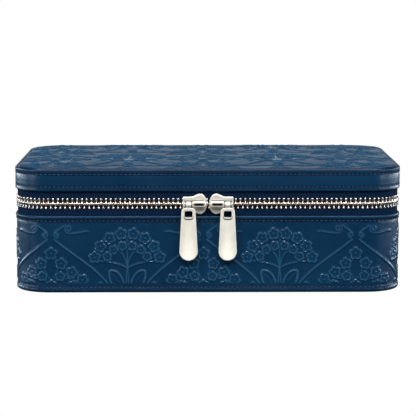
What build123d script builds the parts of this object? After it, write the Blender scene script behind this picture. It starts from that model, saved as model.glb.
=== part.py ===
from build123d import *
import os

# A zip-round leather jewellery case: a padded lid and a lined base, both of board covered in
# leather, hinged by a leather strip at the back and closed by a metal zip with two sliders.
# Millimetres. +Z is up, +X runs along the front, the front faces -Y, and the origin is the
# middle of the underside. "Inset" is a distance inwards from the outer face of the leather.

# ---- The closed case -------------------------------------------------------------------
length = 220.0  # X
depth = 130.0  # Y
corner_radius = 20.0  # plan corners
base_height = 44.0  # from the table to the base's rim
lid_height = 12.5  # from the lid's rim to its smooth border

# ---- Sheet goods -----------------------------------------------------------------------
leather = 1.2
tape = 0.6  # woven zip tape, and the cloth that backs the hinge
lining = 0.8
floor_board = 2.0
top_board = 2.0
collar_board = 1.4
floor_foam = 2.2
edge_round = 1.0  # the leather's turned edges, where its thickness allows
edge_share = 0.85  # of the leather's thickness, the most that a turned edge may take

# ---- Zip chain -------------------------------------------------------------------------
tooth_pitch = 2.7
tooth_width = 1.35  # along the chain
tooth_height = 2.8  # from the tape towards the middle of the zip
tooth_thickness = 2.4  # through the tape
tooth_bite = 0.9  # how far a tooth reaches over the edge of the tape
bite_clearance = 0.05
row_gap = 0.7  # between the two rows of teeth, where the slider's post runs
tape_tuck = 8.0  # how far the tape is sewn in behind the leather
stop_length = 3.2
hinge_width = 150.0  # the leather hinge across the back

# ---- Slider and pull -------------------------------------------------------------------
slider_length = 13.6
nose_height = 11.6  # the slider's wide end
nose_length = 3.9  # from the tip back to the widest place
tail_start = 9.0  # where the shoulders end and the straight tail begins
tail_height = 8.2
slider_plate = 1.0
channel_clearance = 0.15  # round the teeth, inside the slider
tape_clearance = 0.25  # between the slider's lips and each face of the tape
post_height = 0.4
post_start = 0.6
post_end = 4.2
nose_gap = 1.2  # between the two sliders when the case is shut
slider_side_clearance = 1.2  # between the slider's nose and each rim
slider_back_clearance = 0.35  # between the slider and the collar behind it
cap_start = 0.5
cap_height = 3.4  # up and down
cap_thickness = 2.6  # out from the slider's face
cap_slot_length = 5.2
cap_slot_height = 0.9
cap_round = 0.5
pin_radius = 0.75
pin_clearance = 0.06
knuckle_wall = 0.75
knuckle_width = 3.4
knuckle_side_clearance = 0.15
knuckle_back_clearance = 0.2
lug_length = 1.1
lug_height = 2.4
pull_centre = 10.4  # from the slider's tip
pull_reach = 31.9  # from the pin down to the pull's round end
pull_head_width = 7.9
pull_end_width = 10.3
pull_thickness = 1.3
pull_shoulder = 0.2  # how far the head's top edge stays clear of the cap when it swings
head_round = 1.8
window_width = 4.1
window_height = 3.5
window_top = 3.8  # from the pin down to the window

# ---- Lid panel -------------------------------------------------------------------------
border_width = 2.3  # smooth strip round the embossed panel
seam_gap = 0.3
panel_edge_rise = 0.45  # panel's edge above the border
panel_crown_rise = 1.2  # panel's middle above the border
crown_slope = 22.0
crown_radius = 8.0

# ---- Inside ----------------------------------------------------------------------------
collar_gap = 0.4  # between the two collars when the case is shut
ring_zone = 70.0
right_zone = 62.0
divider = 2.4
divider_round = 0.8  # the padded top of a divider
divider_height = 32.0  # above the lined floor
roll_count = 6
roll_gap = 0.6
roll_height = 27.0
roll_end_clearance = 0.3
middle_cross = 14.0  # how far behind the middle line the middle bay's divider stands
right_cross = -12.0
mirror_length = 150.0
mirror_depth = 74.0
mirror_glass = 1.6
mirror_lip = 1.5  # how far the frame laps over the glass
mirror_lip_thickness = 0.6
mirror_border = 6.0
mirror_play = 0.2

# ---- Worked out from the sizes above ---------------------------------------------------
zip_gap = nose_height + 2 * slider_side_clearance
base_rim = base_height
lid_rim = base_rim + zip_gap
lid_edge = lid_rim + lid_height
zip_centre = base_rim + zip_gap / 2

chain_inset = leather + tape / 2
channel_half = tooth_thickness / 2 + channel_clearance
collar_outer = chain_inset + channel_half + slider_plate + slider_back_clearance
collar_inner = collar_outer + collar_board
room_inset = collar_inner + lining
room_length = length - 2 * room_inset
room_depth = depth - 2 * room_inset

floor_top = leather + floor_board
pad_top = floor_top + floor_foam
room_floor = pad_top + lining
base_collar_top = zip_centre - collar_gap / 2
lid_collar_bottom = zip_centre + collar_gap / 2
ceiling = lid_edge - leather - top_board
lining_ceiling = ceiling - lining
tape_edge = row_gap / 2 + tooth_height - tooth_bite

chain_front = depth / 2 - chain_inset
slider_face = chain_front + channel_half + slider_plate
knuckle_radius = pin_radius + pin_clearance + knuckle_wall
pin_front = slider_face + knuckle_radius + knuckle_back_clearance
tip = nose_gap / 2
turned_edge = min(edge_round, edge_share * leather)


def outline(inset, mode=Mode.ADD):
    """The case's rounded plan at an inset."""
    RectangleRounded(length - 2 * inset, depth - 2 * inset, corner_radius - inset, mode=mode)


def wall(outer_inset, inner_inset, low, high, mode=Mode.ADD):
    """A closed wall that follows the plan, between two insets and two heights."""
    with BuildSketch(Plane.XY.offset(low)) as plan:
        outline(outer_inset)
        outline(inner_inset, Mode.SUBTRACT)
    extrude(plan.sketch, amount=high - low, mode=mode)


def slab(inset, low, high, mode=Mode.ADD):
    """A flat sheet cut to the plan."""
    with BuildSketch(Plane.XY.offset(low)) as plan:
        outline(inset)
    extrude(plan.sketch, amount=high - low, mode=mode)


def crowned_slab(inset, low, edge, crown, mode=Mode.ADD):
    """A sheet cut to the plan, whose top slopes up from its edge to a flat middle."""
    slab(inset, low, edge, mode)
    with BuildSketch(Plane.XY.offset(edge)) as foot:
        outline(inset)
    with BuildSketch(Plane.XY.offset(crown)) as top:
        RectangleRounded(length - 2 * crown_slope, depth - 2 * crown_slope, crown_radius)
    loft([foot.sketch, top.sketch], mode=mode)


def hinge_opening(mode):
    """The stretch of the back wall that the leather hinge takes, at every height."""
    with BuildSketch(Plane.XY) as strip:
        with Locations((0, depth / 2)):
            Rectangle(hinge_width, depth / 2)
    extrude(strip.sketch, amount=2 * lid_edge, mode=mode)


def facing(front):
    """A sketch plane that looks at the case's front, level with the zip, this far forward."""
    return Plane(origin=(0, -front, zip_centre), x_dir=(1, 0, 0), z_dir=(0, -1, 0))


def save(piece, name):
    piece.part.label = name
    export_step(piece.part, f"parts/{name}.step")


def save_pair(right_piece, name):
    """Writes a piece of the right-hand slider and its mirror image on the left."""
    save(right_piece, f"{name}_right")
    with BuildPart() as left_piece:
        mirror(right_piece.part, about=Plane.YZ)
    save(left_piece, f"{name}_left")


os.makedirs("parts", exist_ok=True)

# ---- Base: boards and leather ----------------------------------------------------------
with BuildPart() as base_bottom_leather:
    slab(leather, 0, leather)
save(base_bottom_leather, "base_bottom_leather")

with BuildPart() as base_floor_board:
    slab(leather, leather, floor_top)
save(base_floor_board, "base_floor_board")

with BuildPart() as base_side_leather:
    wall(0, leather, 0, base_rim)
    fillet(base_side_leather.faces().sort_by(Axis.Z)[0].outer_wire().edges(), turned_edge)
save(base_side_leather, "base_side_leather")

# The wall board is rebated at its top, where the tape lies behind the leather.
with BuildPart() as base_wall_board:
    wall(leather, collar_outer, floor_top, base_rim)
    wall(leather, leather + tape, base_rim - tape_tuck, base_rim, Mode.SUBTRACT)
save(base_wall_board, "base_wall_board")

with BuildPart() as base_collar:
    wall(collar_outer, collar_inner, floor_top, base_collar_top)
save(base_collar, "base_collar")

with BuildPart() as base_wall_lining:
    wall(collar_inner, room_inset, floor_top, base_collar_top)
save(base_wall_lining, "base_wall_lining")

with BuildPart() as base_floor_pad:
    slab(room_inset, floor_top, pad_top)
save(base_floor_pad, "base_floor_pad")

with BuildPart() as base_floor_lining:
    slab(room_inset, pad_top, room_floor)
save(base_floor_lining, "base_floor_lining")

# ---- Base: dividers and ring rolls -----------------------------------------------------
room_left = -room_length / 2
left_divider_x = room_left + ring_zone + divider / 2
right_divider_x = -room_left - right_zone - divider / 2


def divider_wall(low_x, high_x, low_y, high_y):
    """A padded divider between two X and two Y values, standing on the lined floor."""
    with BuildSketch(Plane.XY.offset(room_floor)) as foot:
        with Locations(((low_x + high_x) / 2, (low_y + high_y) / 2)):
            Rectangle(high_x - low_x, high_y - low_y)
    extrude(foot.sketch, amount=divider_height)
    fillet(edges().group_by(Axis.Z)[-1], divider_round)


for side, centre in (("left", left_divider_x), ("right", right_divider_x)):
    with BuildPart() as long_divider:
        divider_wall(centre - divider / 2, centre + divider / 2, -room_depth / 2, room_depth / 2)
    save(long_divider, f"long_divider_{side}")

with BuildPart() as cross_divider_middle:
    divider_wall(left_divider_x + divider / 2, right_divider_x - divider / 2,
                 middle_cross - divider / 2, middle_cross + divider / 2)
save(cross_divider_middle, "cross_divider_middle")

with BuildPart() as cross_divider_right:
    divider_wall(right_divider_x + divider / 2, -room_left,
                 right_cross - divider / 2, right_cross + divider / 2)
save(cross_divider_right, "cross_divider_right")

# Each roll stands on the floor, runs along X and has a half-round top. The first and the last
# are cut to the rounded corners of the room.
roll_pitch = room_depth / roll_count
roll_width = roll_pitch - roll_gap
for number in range(roll_count):
    roll_y = -room_depth / 2 + (number + 0.5) * roll_pitch
    straight = roll_height - roll_width / 2
    with BuildPart() as ring_roll:
        with BuildSketch(Plane(origin=(room_left, roll_y, room_floor), x_dir=(0, 1, 0), z_dir=(1, 0, 0))):
            with Locations((0, straight / 2)):
                Rectangle(roll_width, straight)
            with Locations((0, straight)):
                Circle(roll_width / 2)
        extrude(amount=ring_zone - roll_end_clearance)
        slab(room_inset + roll_end_clearance, room_floor, room_floor + roll_height, Mode.INTERSECT)
    save(ring_roll, f"ring_roll_{number + 1}")

# ---- Lid -------------------------------------------------------------------------------
# The side leather turns over the top edge as a smooth border round the embossed panel.
with BuildPart() as lid_side_leather:
    slab(0, lid_rim, lid_edge)
    slab(leather, lid_rim, lid_edge - leather, Mode.SUBTRACT)
    slab(border_width, lid_edge - leather, lid_edge, Mode.SUBTRACT)
    fillet(lid_side_leather.faces().sort_by(Axis.Z)[-1].outer_wire().edges(), turned_edge)
save(lid_side_leather, "lid_side_leather")

with BuildPart() as lid_wall_board:
    wall(leather, collar_outer, lid_rim, ceiling)
    wall(leather, leather + tape, lid_rim, lid_rim + tape_tuck, Mode.SUBTRACT)
save(lid_wall_board, "lid_wall_board")

with BuildPart() as lid_top_board:
    slab(leather, ceiling, ceiling + top_board)
save(lid_top_board, "lid_top_board")

panel_inset = border_width + seam_gap
panel_low = lid_edge - leather
with BuildPart() as lid_top_foam:
    crowned_slab(panel_inset + leather, panel_low,
                 lid_edge + panel_edge_rise - leather, lid_edge + panel_crown_rise - leather)
save(lid_top_foam, "lid_top_foam")

with BuildPart() as lid_top_leather:
    crowned_slab(panel_inset, panel_low, lid_edge + panel_edge_rise, lid_edge + panel_crown_rise)
    add(lid_top_foam.part, mode=Mode.SUBTRACT)
save(lid_top_leather, "lid_top_leather")

with BuildPart() as lid_collar:
    wall(collar_outer, collar_inner, lid_collar_bottom, ceiling)
save(lid_collar, "lid_collar")

with BuildPart() as lid_wall_lining:
    wall(collar_inner, room_inset, lid_collar_bottom, ceiling)
save(lid_wall_lining, "lid_wall_lining")

with BuildPart() as lid_ceiling_lining:
    slab(room_inset, lining_ceiling, ceiling)
save(lid_ceiling_lining, "lid_ceiling_lining")

# ---- Mirror in the lid -----------------------------------------------------------------
glass_bottom = lining_ceiling - mirror_glass
frame_bottom = glass_bottom - mirror_lip_thickness
with BuildPart() as mirror_frame:
    with BuildSketch(Plane.XY.offset(frame_bottom)):
        RectangleRounded(mirror_length + 2 * mirror_border, mirror_depth + 2 * mirror_border, mirror_border)
        Rectangle(mirror_length - 2 * mirror_lip, mirror_depth - 2 * mirror_lip, mode=Mode.SUBTRACT)
    extrude(amount=lining_ceiling - frame_bottom)
    with BuildSketch(Plane.XY.offset(glass_bottom)):
        Rectangle(mirror_length + 2 * mirror_play, mirror_depth + 2 * mirror_play)
    extrude(amount=mirror_glass, mode=Mode.SUBTRACT)
save(mirror_frame, "mirror_frame")

with BuildPart() as mirror_pane:
    with BuildSketch(Plane.XY.offset(glass_bottom)):
        Rectangle(mirror_length, mirror_depth)
    extrude(amount=mirror_glass)
save(mirror_pane, "mirror_glass")

# ---- Zip tapes and the hinge -----------------------------------------------------------
with BuildPart() as zip_tape_lower:
    wall(leather, leather + tape, base_rim - tape_tuck, zip_centre - tape_edge)
    hinge_opening(Mode.SUBTRACT)
save(zip_tape_lower, "zip_tape_lower")

with BuildPart() as zip_tape_upper:
    wall(leather, leather + tape, zip_centre + tape_edge, lid_rim + tape_tuck)
    hinge_opening(Mode.SUBTRACT)
save(zip_tape_upper, "zip_tape_upper")

with BuildPart() as hinge_leather:
    wall(0, leather, base_rim, lid_rim)
    hinge_opening(Mode.INTERSECT)
save(hinge_leather, "hinge_leather")

with BuildPart() as hinge_backing:
    wall(leather, leather + tape, base_rim - tape_tuck, lid_rim + tape_tuck)
    hinge_opening(Mode.INTERSECT)
save(hinge_backing, "hinge_backing")

# ---- Zip teeth -------------------------------------------------------------------------
# The chain runs from one end of the hinge, round the front, to the hinge's other end.
chain_side = length / 2 - chain_inset
chain_corner = corner_radius - chain_inset
with BuildLine(Plane.XY.offset(zip_centre)) as chain:
    FilletPolyline(
        (-hinge_width / 2, chain_front), (-chain_side, chain_front), (-chain_side, -chain_front),
        (chain_side, -chain_front), (chain_side, chain_front), (hinge_width / 2, chain_front),
        radius=chain_corner,
    )
chain_wire = chain.wire()
toothed_length = chain_wire.length - 2 * (stop_length + tooth_pitch)
tooth_count = int(toothed_length / tooth_pitch)


def plane_on_chain(distance):
    """A level plane on the chain, with X along it, this far from its start."""
    share = distance / chain_wire.length
    return Plane(origin=chain_wire.position_at(share), x_dir=chain_wire.tangent_at(share), z_dir=(0, 0, 1))


first_tooth = (chain_wire.length - (tooth_count - 1) * tooth_pitch) / 2
tooth_planes = [plane_on_chain(first_tooth + number * tooth_pitch) for number in range(tooth_count)]
stop_planes = [plane_on_chain(stop_length / 2), plane_on_chain(chain_wire.length - stop_length / 2)]


def clamp(width, upwards):
    """A block astride the edge of one tape: upwards is 1 for the upper tape, -1 for the lower."""
    slot = tape + 2 * bite_clearance
    with BuildSketch(Plane.XZ.offset(-tooth_thickness / 2)) as block:
        with Locations((0, upwards * (row_gap / 2 + tooth_height / 2))):
            Rectangle(width, tooth_height)
    extrude(block.sketch, amount=tooth_thickness)
    with BuildSketch(Plane.XZ.offset(-slot / 2)) as bite:
        with Locations((0, upwards * (row_gap / 2 + tooth_height - tooth_bite / 2))):
            Rectangle(2 * width, tooth_bite + 2 * bite_clearance)
    extrude(bite.sketch, amount=slot, mode=Mode.SUBTRACT)


for row, upwards in (("lower", -1), ("upper", 1)):
    with BuildPart() as tooth:
        clamp(tooth_width, upwards)
    with BuildPart() as stop:
        clamp(stop_length, upwards)
    with BuildPart() as zip_teeth:
        with Locations(*tooth_planes):
            add(tooth.part)
    save(zip_teeth, f"zip_teeth_{row}")
    with BuildPart() as zip_stops:
        with Locations(*stop_planes):
            add(stop.part)
    save(zip_stops, f"zip_stops_{row}")


# ---- Sliders ---------------------------------------------------------------------------
# The right-hand slider has its wide nose at the middle of the front and its tail to the right.
def slider_outline():
    """A rounded nose, hollow shoulders and a straight tail, symmetric about the zip."""
    half_nose = nose_height / 2
    half_tail = tail_height / 2
    tail_end = tip + slider_length
    with BuildLine() as edge:
        EllipticalCenterArc((tip + nose_length, 0), nose_length, half_nose, start_angle=90, arc_size=180)
        Spline((tip + nose_length, half_nose), (tip + tail_start, half_tail), tangents=((1, 0), (1, 0)))
        Spline((tip + nose_length, -half_nose), (tip + tail_start, -half_tail), tangents=((1, 0), (1, 0)))
        Polyline((tip + tail_start, half_tail), (tail_end, half_tail), (tail_end, -half_tail),
                 (tip + tail_start, -half_tail))
    make_face(edge.edges())


lip_start = tape / 2 + tape_clearance
lip_inner = row_gap / 2 + tooth_height + channel_clearance
with BuildPart() as slider_body:
    for plate_back in (chain_front - channel_half - slider_plate, chain_front + channel_half):
        with BuildSketch(facing(plate_back)):
            slider_outline()
        extrude(amount=slider_plate)
    # The lips close in round the teeth above and below, and leave a way for each tape.
    for lip_back in (chain_front - channel_half, chain_front + lip_start):
        with BuildSketch(facing(lip_back)):
            slider_outline()
            with Locations((tip + slider_length / 2, 0)):
                Rectangle(2 * slider_length, 2 * lip_inner, mode=Mode.SUBTRACT)
        extrude(amount=channel_half - lip_start)
    with BuildSketch(facing(chain_front - channel_half)):
        with Locations((tip + (post_start + post_end) / 2, 0)):
            Rectangle(post_end - post_start, post_height)
    extrude(amount=2 * channel_half)
save_pair(slider_body, "slider_body")

knuckle_start = tip + pull_centre - knuckle_width / 2 - knuckle_side_clearance
knuckle_end = tip + pull_centre + knuckle_width / 2 + knuckle_side_clearance


def along_pin(x):
    """A sketch plane square to the pull's pin, whose own X is forwards and whose Y is up."""
    return Plane(origin=(x, -pin_front, zip_centre), x_dir=(0, -1, 0), z_dir=(-1, 0, 0))


with BuildPart() as slider_cap:
    with BuildSketch(facing(slider_face)):
        with Locations(((tip + cap_start + knuckle_start) / 2, 0)):
            Rectangle(knuckle_start - tip - cap_start, cap_height)
    extrude(amount=cap_thickness)
    with BuildSketch(facing(slider_face)):
        with Locations((knuckle_end + lug_length / 2, 0)):
            Rectangle(lug_length, lug_height)
    extrude(amount=cap_thickness)
    fillet(slider_cap.faces().sort_by(Axis.Y)[0].edges(), cap_round)
    with BuildSketch(facing(slider_face + cap_thickness / 2)):
        with Locations(((tip + cap_start + knuckle_start) / 2, 0)):
            SlotOverall(cap_slot_length, cap_slot_height)
    extrude(amount=cap_thickness, mode=Mode.SUBTRACT)
    with BuildSketch(along_pin(knuckle_end + lug_length / 2)):
        Circle(pin_radius)
    extrude(amount=knuckle_end - knuckle_start + lug_length)
save_pair(slider_cap, "slider_cap")

# ---- Pulls -----------------------------------------------------------------------------
cap_corner = ((cap_height / 2) ** 2 + (slider_face + cap_thickness - pin_front) ** 2) ** 0.5
head_top = cap_corner + pull_shoulder
with BuildPart() as pull:
    pull_x = tip + pull_centre
    end_radius = pull_end_width / 2
    end_height = -pull_reach + end_radius
    with BuildSketch(facing(pin_front - pull_thickness / 2)):
        with BuildLine():
            Polyline((pull_x - end_radius, end_height), (pull_x - pull_head_width / 2, -head_top),
                     (pull_x + pull_head_width / 2, -head_top), (pull_x + end_radius, end_height))
            ThreePointArc((pull_x - end_radius, end_height), (pull_x, -pull_reach),
                          (pull_x + end_radius, end_height))
        make_face()
        fillet(vertices().group_by(Axis.Y)[-1], head_round)
        with Locations((pull_x, -window_top - window_height / 2)):
            Rectangle(window_width, window_height, mode=Mode.SUBTRACT)
        with Locations((pull_x, -head_top / 2)):
            Rectangle(knuckle_width, head_top + knuckle_wall)
    extrude(amount=pull_thickness)
    with BuildSketch(along_pin(pull_x + knuckle_width / 2)):
        Circle(knuckle_radius)
    extrude(amount=knuckle_width)
    with BuildSketch(along_pin(pull_x + knuckle_width)):
        Circle(pin_radius + pin_clearance)
    extrude(amount=2 * knuckle_width, mode=Mode.SUBTRACT)
save_pair(pull, "pull")
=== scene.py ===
# %% [markdown]
# # A zip-round leather jewellery case
# This lesson dresses a finished CAD model of a jewellery case. The boards, joints and sizes are
# already settled, so each cell makes one visible skin, thread or fitting that sits exactly where
# its CAD part says. Everything is in metres, +Z is up and the front faces -Y.

# %% Load the frame
import math
import bpy
import numpy as np
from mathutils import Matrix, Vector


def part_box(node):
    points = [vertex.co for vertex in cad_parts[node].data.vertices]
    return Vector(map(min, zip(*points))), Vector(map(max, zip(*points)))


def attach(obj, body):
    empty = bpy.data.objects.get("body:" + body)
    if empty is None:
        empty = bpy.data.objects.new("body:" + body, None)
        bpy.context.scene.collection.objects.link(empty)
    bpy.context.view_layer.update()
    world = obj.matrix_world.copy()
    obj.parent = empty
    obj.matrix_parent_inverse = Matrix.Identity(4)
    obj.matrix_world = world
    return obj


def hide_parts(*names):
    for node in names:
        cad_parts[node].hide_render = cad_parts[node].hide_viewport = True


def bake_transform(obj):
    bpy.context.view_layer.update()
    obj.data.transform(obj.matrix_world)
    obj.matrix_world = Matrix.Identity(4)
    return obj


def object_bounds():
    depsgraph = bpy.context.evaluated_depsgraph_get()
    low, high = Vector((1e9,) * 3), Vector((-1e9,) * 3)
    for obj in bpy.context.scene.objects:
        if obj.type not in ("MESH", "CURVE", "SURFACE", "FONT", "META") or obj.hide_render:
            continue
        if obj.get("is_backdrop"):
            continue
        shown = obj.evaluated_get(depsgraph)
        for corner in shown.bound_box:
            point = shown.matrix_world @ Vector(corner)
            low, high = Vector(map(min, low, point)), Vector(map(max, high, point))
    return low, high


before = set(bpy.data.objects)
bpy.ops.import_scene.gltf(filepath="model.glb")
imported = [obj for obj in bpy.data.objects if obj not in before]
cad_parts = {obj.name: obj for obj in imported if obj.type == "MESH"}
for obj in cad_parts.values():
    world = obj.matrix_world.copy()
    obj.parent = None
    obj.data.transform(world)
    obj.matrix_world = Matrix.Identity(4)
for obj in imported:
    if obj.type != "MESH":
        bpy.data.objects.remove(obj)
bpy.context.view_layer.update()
MM = 0.001

# %% [markdown]
# ## Sizes that every piece shares
# The plan of the case is a rounded rectangle. Its size and its heights are read from the CAD
# boxes, so nothing here can drift away from the model. Only the corner radius has to be named.

# %% Read the plan and the heights
HALF_X, HALF_Y, BASE_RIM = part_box("base_side_leather")[1]
LID_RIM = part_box("lid_side_leather")[0][2]
LID_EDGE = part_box("lid_side_leather")[1][2]
ZIP_Z = (BASE_RIM + LID_RIM) / 2
CORNER = 20.0 * MM
HINGE_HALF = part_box("hinge_leather")[1][0]
ROOM_X, ROOM_Y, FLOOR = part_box("base_floor_lining")[1]
ROOM_INSET = HALF_X - ROOM_X
print("rims", round(BASE_RIM, 4), round(LID_RIM, 4), "lid's edge", round(LID_EDGE, 4))

# %% [markdown]
# ## Camera, floor and light
# The case is seen almost level, from a little above the front, with a long lens that keeps its
# sides nearly parallel. The lights are soft panels. One hangs above and a long one in front. Two
# small ones stand high in front for the glints on the raised lines. Low strips at the sides give
# the round corners their sheen, and one behind does the same for the lid. The strips are low so
# that the lid doesn't mirror them when it is seen from a side.
# The floor and the world look white to the eye but send less light back into the leather, which
# keeps a dark glossy hide from turning grey.

# %% Camera
LENS = 141.525
LOOK_AT = np.array([0.6, 0.0, 39.3]) * MM
FAR, RISE, TURN = 984.6 * MM, math.radians(8.18), math.radians(-0.57)
LIT_SPOT = (0, 0, 0.04)


def aim(thing, place, target):
    """Puts a camera or a lamp at a place and turns its -Z towards the target."""
    thing.location = [float(v) for v in place]
    away = thing.location - type(thing.location)([float(v) for v in target])
    thing.rotation_euler = away.to_track_quat("Z", "Y").to_euler()


camera = bpy.data.objects.new("camera", bpy.data.cameras.new("camera"))
camera.data.lens = LENS
camera.data.clip_start = 10 * MM
bpy.context.scene.collection.objects.link(camera)
back = np.array([math.sin(TURN) * math.cos(RISE), -math.cos(TURN) * math.cos(RISE), math.sin(RISE)])
aim(camera, LOOK_AT + FAR * back, LOOK_AT)
bpy.context.scene.camera = camera
print("lens", round(LENS, 1), "mm, eye", np.round(LOOK_AT + FAR * back, 3))


# %% Light panels
def light_panel(name, place, size, power, colour=(1, 1, 1)):
    """A soft rectangular lamp that faces the case and is not itself seen; power in watts."""
    lamp = bpy.data.lights.new(name, "AREA")
    lamp.shape = "RECTANGLE"
    lamp.size, lamp.size_y = size
    lamp.energy = power
    lamp.color = colour
    panel = bpy.data.objects.new(name, lamp)
    panel.visible_camera = False
    bpy.context.scene.collection.objects.link(panel)
    aim(panel, place, LIT_SPOT)


COOL = (0.72, 0.88, 1.0)
light_panel("light_key", (0, -1.05, 1.05), (0.9, 0.35), 16.5)
for side in (-1, 1):
    light_panel(f"light_high_{side}", (side * 0.78, -0.80, 1.25), (0.35, 0.35), 17)
    light_panel(f"light_low_{side}", (side * 1.25, -0.80, 0.11), (0.32, 0.22), 3.6, COOL)
    light_panel(f"light_side_{side}", (side * 1.1, 0.30, 0.07), (1.3, 0.14), 7.5, COOL)
light_panel("light_top", (0, 0.15, 1.10), (1.0, 0.8), 8)
light_panel("light_back", (0, 1.60, 0.30), (2.6, 0.24), 1.8, COOL)


# %% Node helpers
def tree_of(owner):
    """Turns nodes on for a material or a world, empties the tree and returns it."""
    owner.use_nodes = True
    owner.node_tree.nodes.clear()
    return owner.node_tree


def join(tree, source, target):
    """Links one node's output to another's input."""
    tree.links.new(source, target)


def new_node(tree, kind, **values):
    """Adds a shader node and sets constants on its inputs; an underscore stands for a space."""
    node = tree.nodes.new("ShaderNode" + kind)
    for socket, value in values.items():
        node.inputs[socket.replace("_", " ")].default_value = value
    return node


print("node helpers", tree_of.__name__, join.__name__, new_node.__name__)

# %% World and floor
SKY_LIGHT, SKY_SEEN = 0.04, 1.05
PAPER_LIGHT = 0.05
FLOOR_SIDE, FLOOR_DROP = 60.0, 0.2 * MM
WHITE = (1.0, 1.0, 1.0, 1.0)
world = bpy.data.worlds.new("studio")
bpy.context.scene.world = world
tree = tree_of(world)
seen = new_node(tree, "LightPath")
levels = new_node(tree, "Mix", A=SKY_LIGHT, B=SKY_SEEN)
sky = new_node(tree, "Background", Color=WHITE)
out = new_node(tree, "OutputWorld")
join(tree, seen.outputs["Is Camera Ray"], levels.inputs["Factor"])
join(tree, levels.outputs["Result"], sky.inputs["Strength"])
join(tree, sky.outputs[0], out.inputs["Surface"])

bpy.ops.mesh.primitive_plane_add(size=FLOOR_SIDE, location=(0, 0, -FLOOR_DROP))
floor = bpy.context.object
floor.name = "studio_floor"
paper = bpy.data.materials.new("studio_paper")
tree = tree_of(paper)
seen = new_node(tree, "LightPath")
white = new_node(tree, "Emission", Color=WHITE)
grey = new_node(tree, "BsdfDiffuse", Color=(PAPER_LIGHT, PAPER_LIGHT, PAPER_LIGHT, 1))
pick = new_node(tree, "MixShader")
out = new_node(tree, "OutputMaterial")
join(tree, seen.outputs["Is Camera Ray"], pick.inputs["Fac"])
join(tree, grey.outputs[0], pick.inputs[1])
join(tree, white.outputs[0], pick.inputs[2])
join(tree, pick.outputs[0], out.inputs["Surface"])
floor.data.materials.append(paper)
floor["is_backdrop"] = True
bpy.context.scene.view_settings.view_transform = "Standard"
print("floor and world ready")

# %% [markdown]
# ## Walking round the plan
# Most pieces follow the outline: skins, tapes, teeth and stitches. One function turns a distance
# round the case into a place and an outward direction, for a whole array at once. The outline is
# four straights and four quarter circles, and an inset only moves a point along its normal.

# %% The path round the case
STRAIGHT_X, STRAIGHT_Y = HALF_X - CORNER, HALF_Y - CORNER
ARC = CORNER * math.pi / 2
RUNS = np.array([STRAIGHT_X, ARC, 2 * STRAIGHT_Y, ARC, 2 * STRAIGHT_X, ARC, 2 * STRAIGHT_Y, ARC,
                 STRAIGHT_X])
STARTS = np.concatenate([[0.0], np.cumsum(RUNS)])
AROUND = STARTS[-1]
CENTRES = np.array([(1, -1), (1, 1), (-1, 1), (-1, -1)]) * np.array([STRAIGHT_X, STRAIGHT_Y])


def around(distance):
    """Place and outward normal on the outline, this far from the middle of the front.

    The case is walked anticlockwise seen from above, in nine runs. On a quarter circle the
    normal turns by distance over radius, and the place is the corner's centre plus the radius
    along the normal. On a straight the place is the next corner's start, less what is left.
    """
    s = np.mod(np.asarray(distance, float), AROUND)
    run = np.clip(np.searchsorted(STARTS, s, side="right") - 1, 0, len(RUNS) - 1)
    along = s - STARTS[run]
    bend = run % 2 == 1
    angle = (run // 2) * (math.pi / 2) + np.where(bend, along / CORNER, 0.0) - math.pi / 2
    normal = np.stack([np.cos(angle), np.sin(angle)], axis=-1)
    ahead = np.stack([-normal[..., 1], normal[..., 0]], axis=-1)
    left = np.where(bend, 0.0, RUNS[run] - along + np.where(run == len(RUNS) - 1, STRAIGHT_X, 0.0))
    place = CENTRES[(run // 2) % 4] + CORNER * normal - left[..., None] * ahead
    return place, normal


def wrapped(distance, inset, height):
    """Points (..., 3) at a distance round the case, an inset behind its face and a height."""
    place, normal = around(distance)
    flat = place - np.asarray(inset)[..., None] * normal
    height = np.broadcast_to(np.asarray(height)[..., None], flat.shape[:-1] + (1,))
    return np.concatenate([flat, height], -1)


print("round the case", round(AROUND, 4), "m, middle of the back", np.round(around(AROUND / 2)[0], 4))


# %% [markdown]
# ## From arrays to meshes
# Every new skin here is a grid: rows of points that follow the outline, columns that follow a
# profile. These helpers join a grid into quads, close it where it should meet itself, give the
# finished object its material, attach it to its body and hide the CAD node it stands for.

# %% Grid helpers
def grid_quads(rows, columns, loop_rows=False, loop_columns=False):
    """Corner numbers (n, 4) of the quads between neighbouring rows and columns of a grid."""
    r = np.arange(rows if loop_rows else rows - 1)[:, None]
    c = np.arange(columns if loop_columns else columns - 1)[None, :]
    r2, c2 = (r + 1) % rows, (c + 1) % columns
    corners = [r * columns + c, r2 * columns + c, r2 * columns + c2, r * columns + c2]
    return np.stack([np.broadcast_to(k, (r.size, c.size)).ravel() for k in corners], axis=1)


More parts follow.
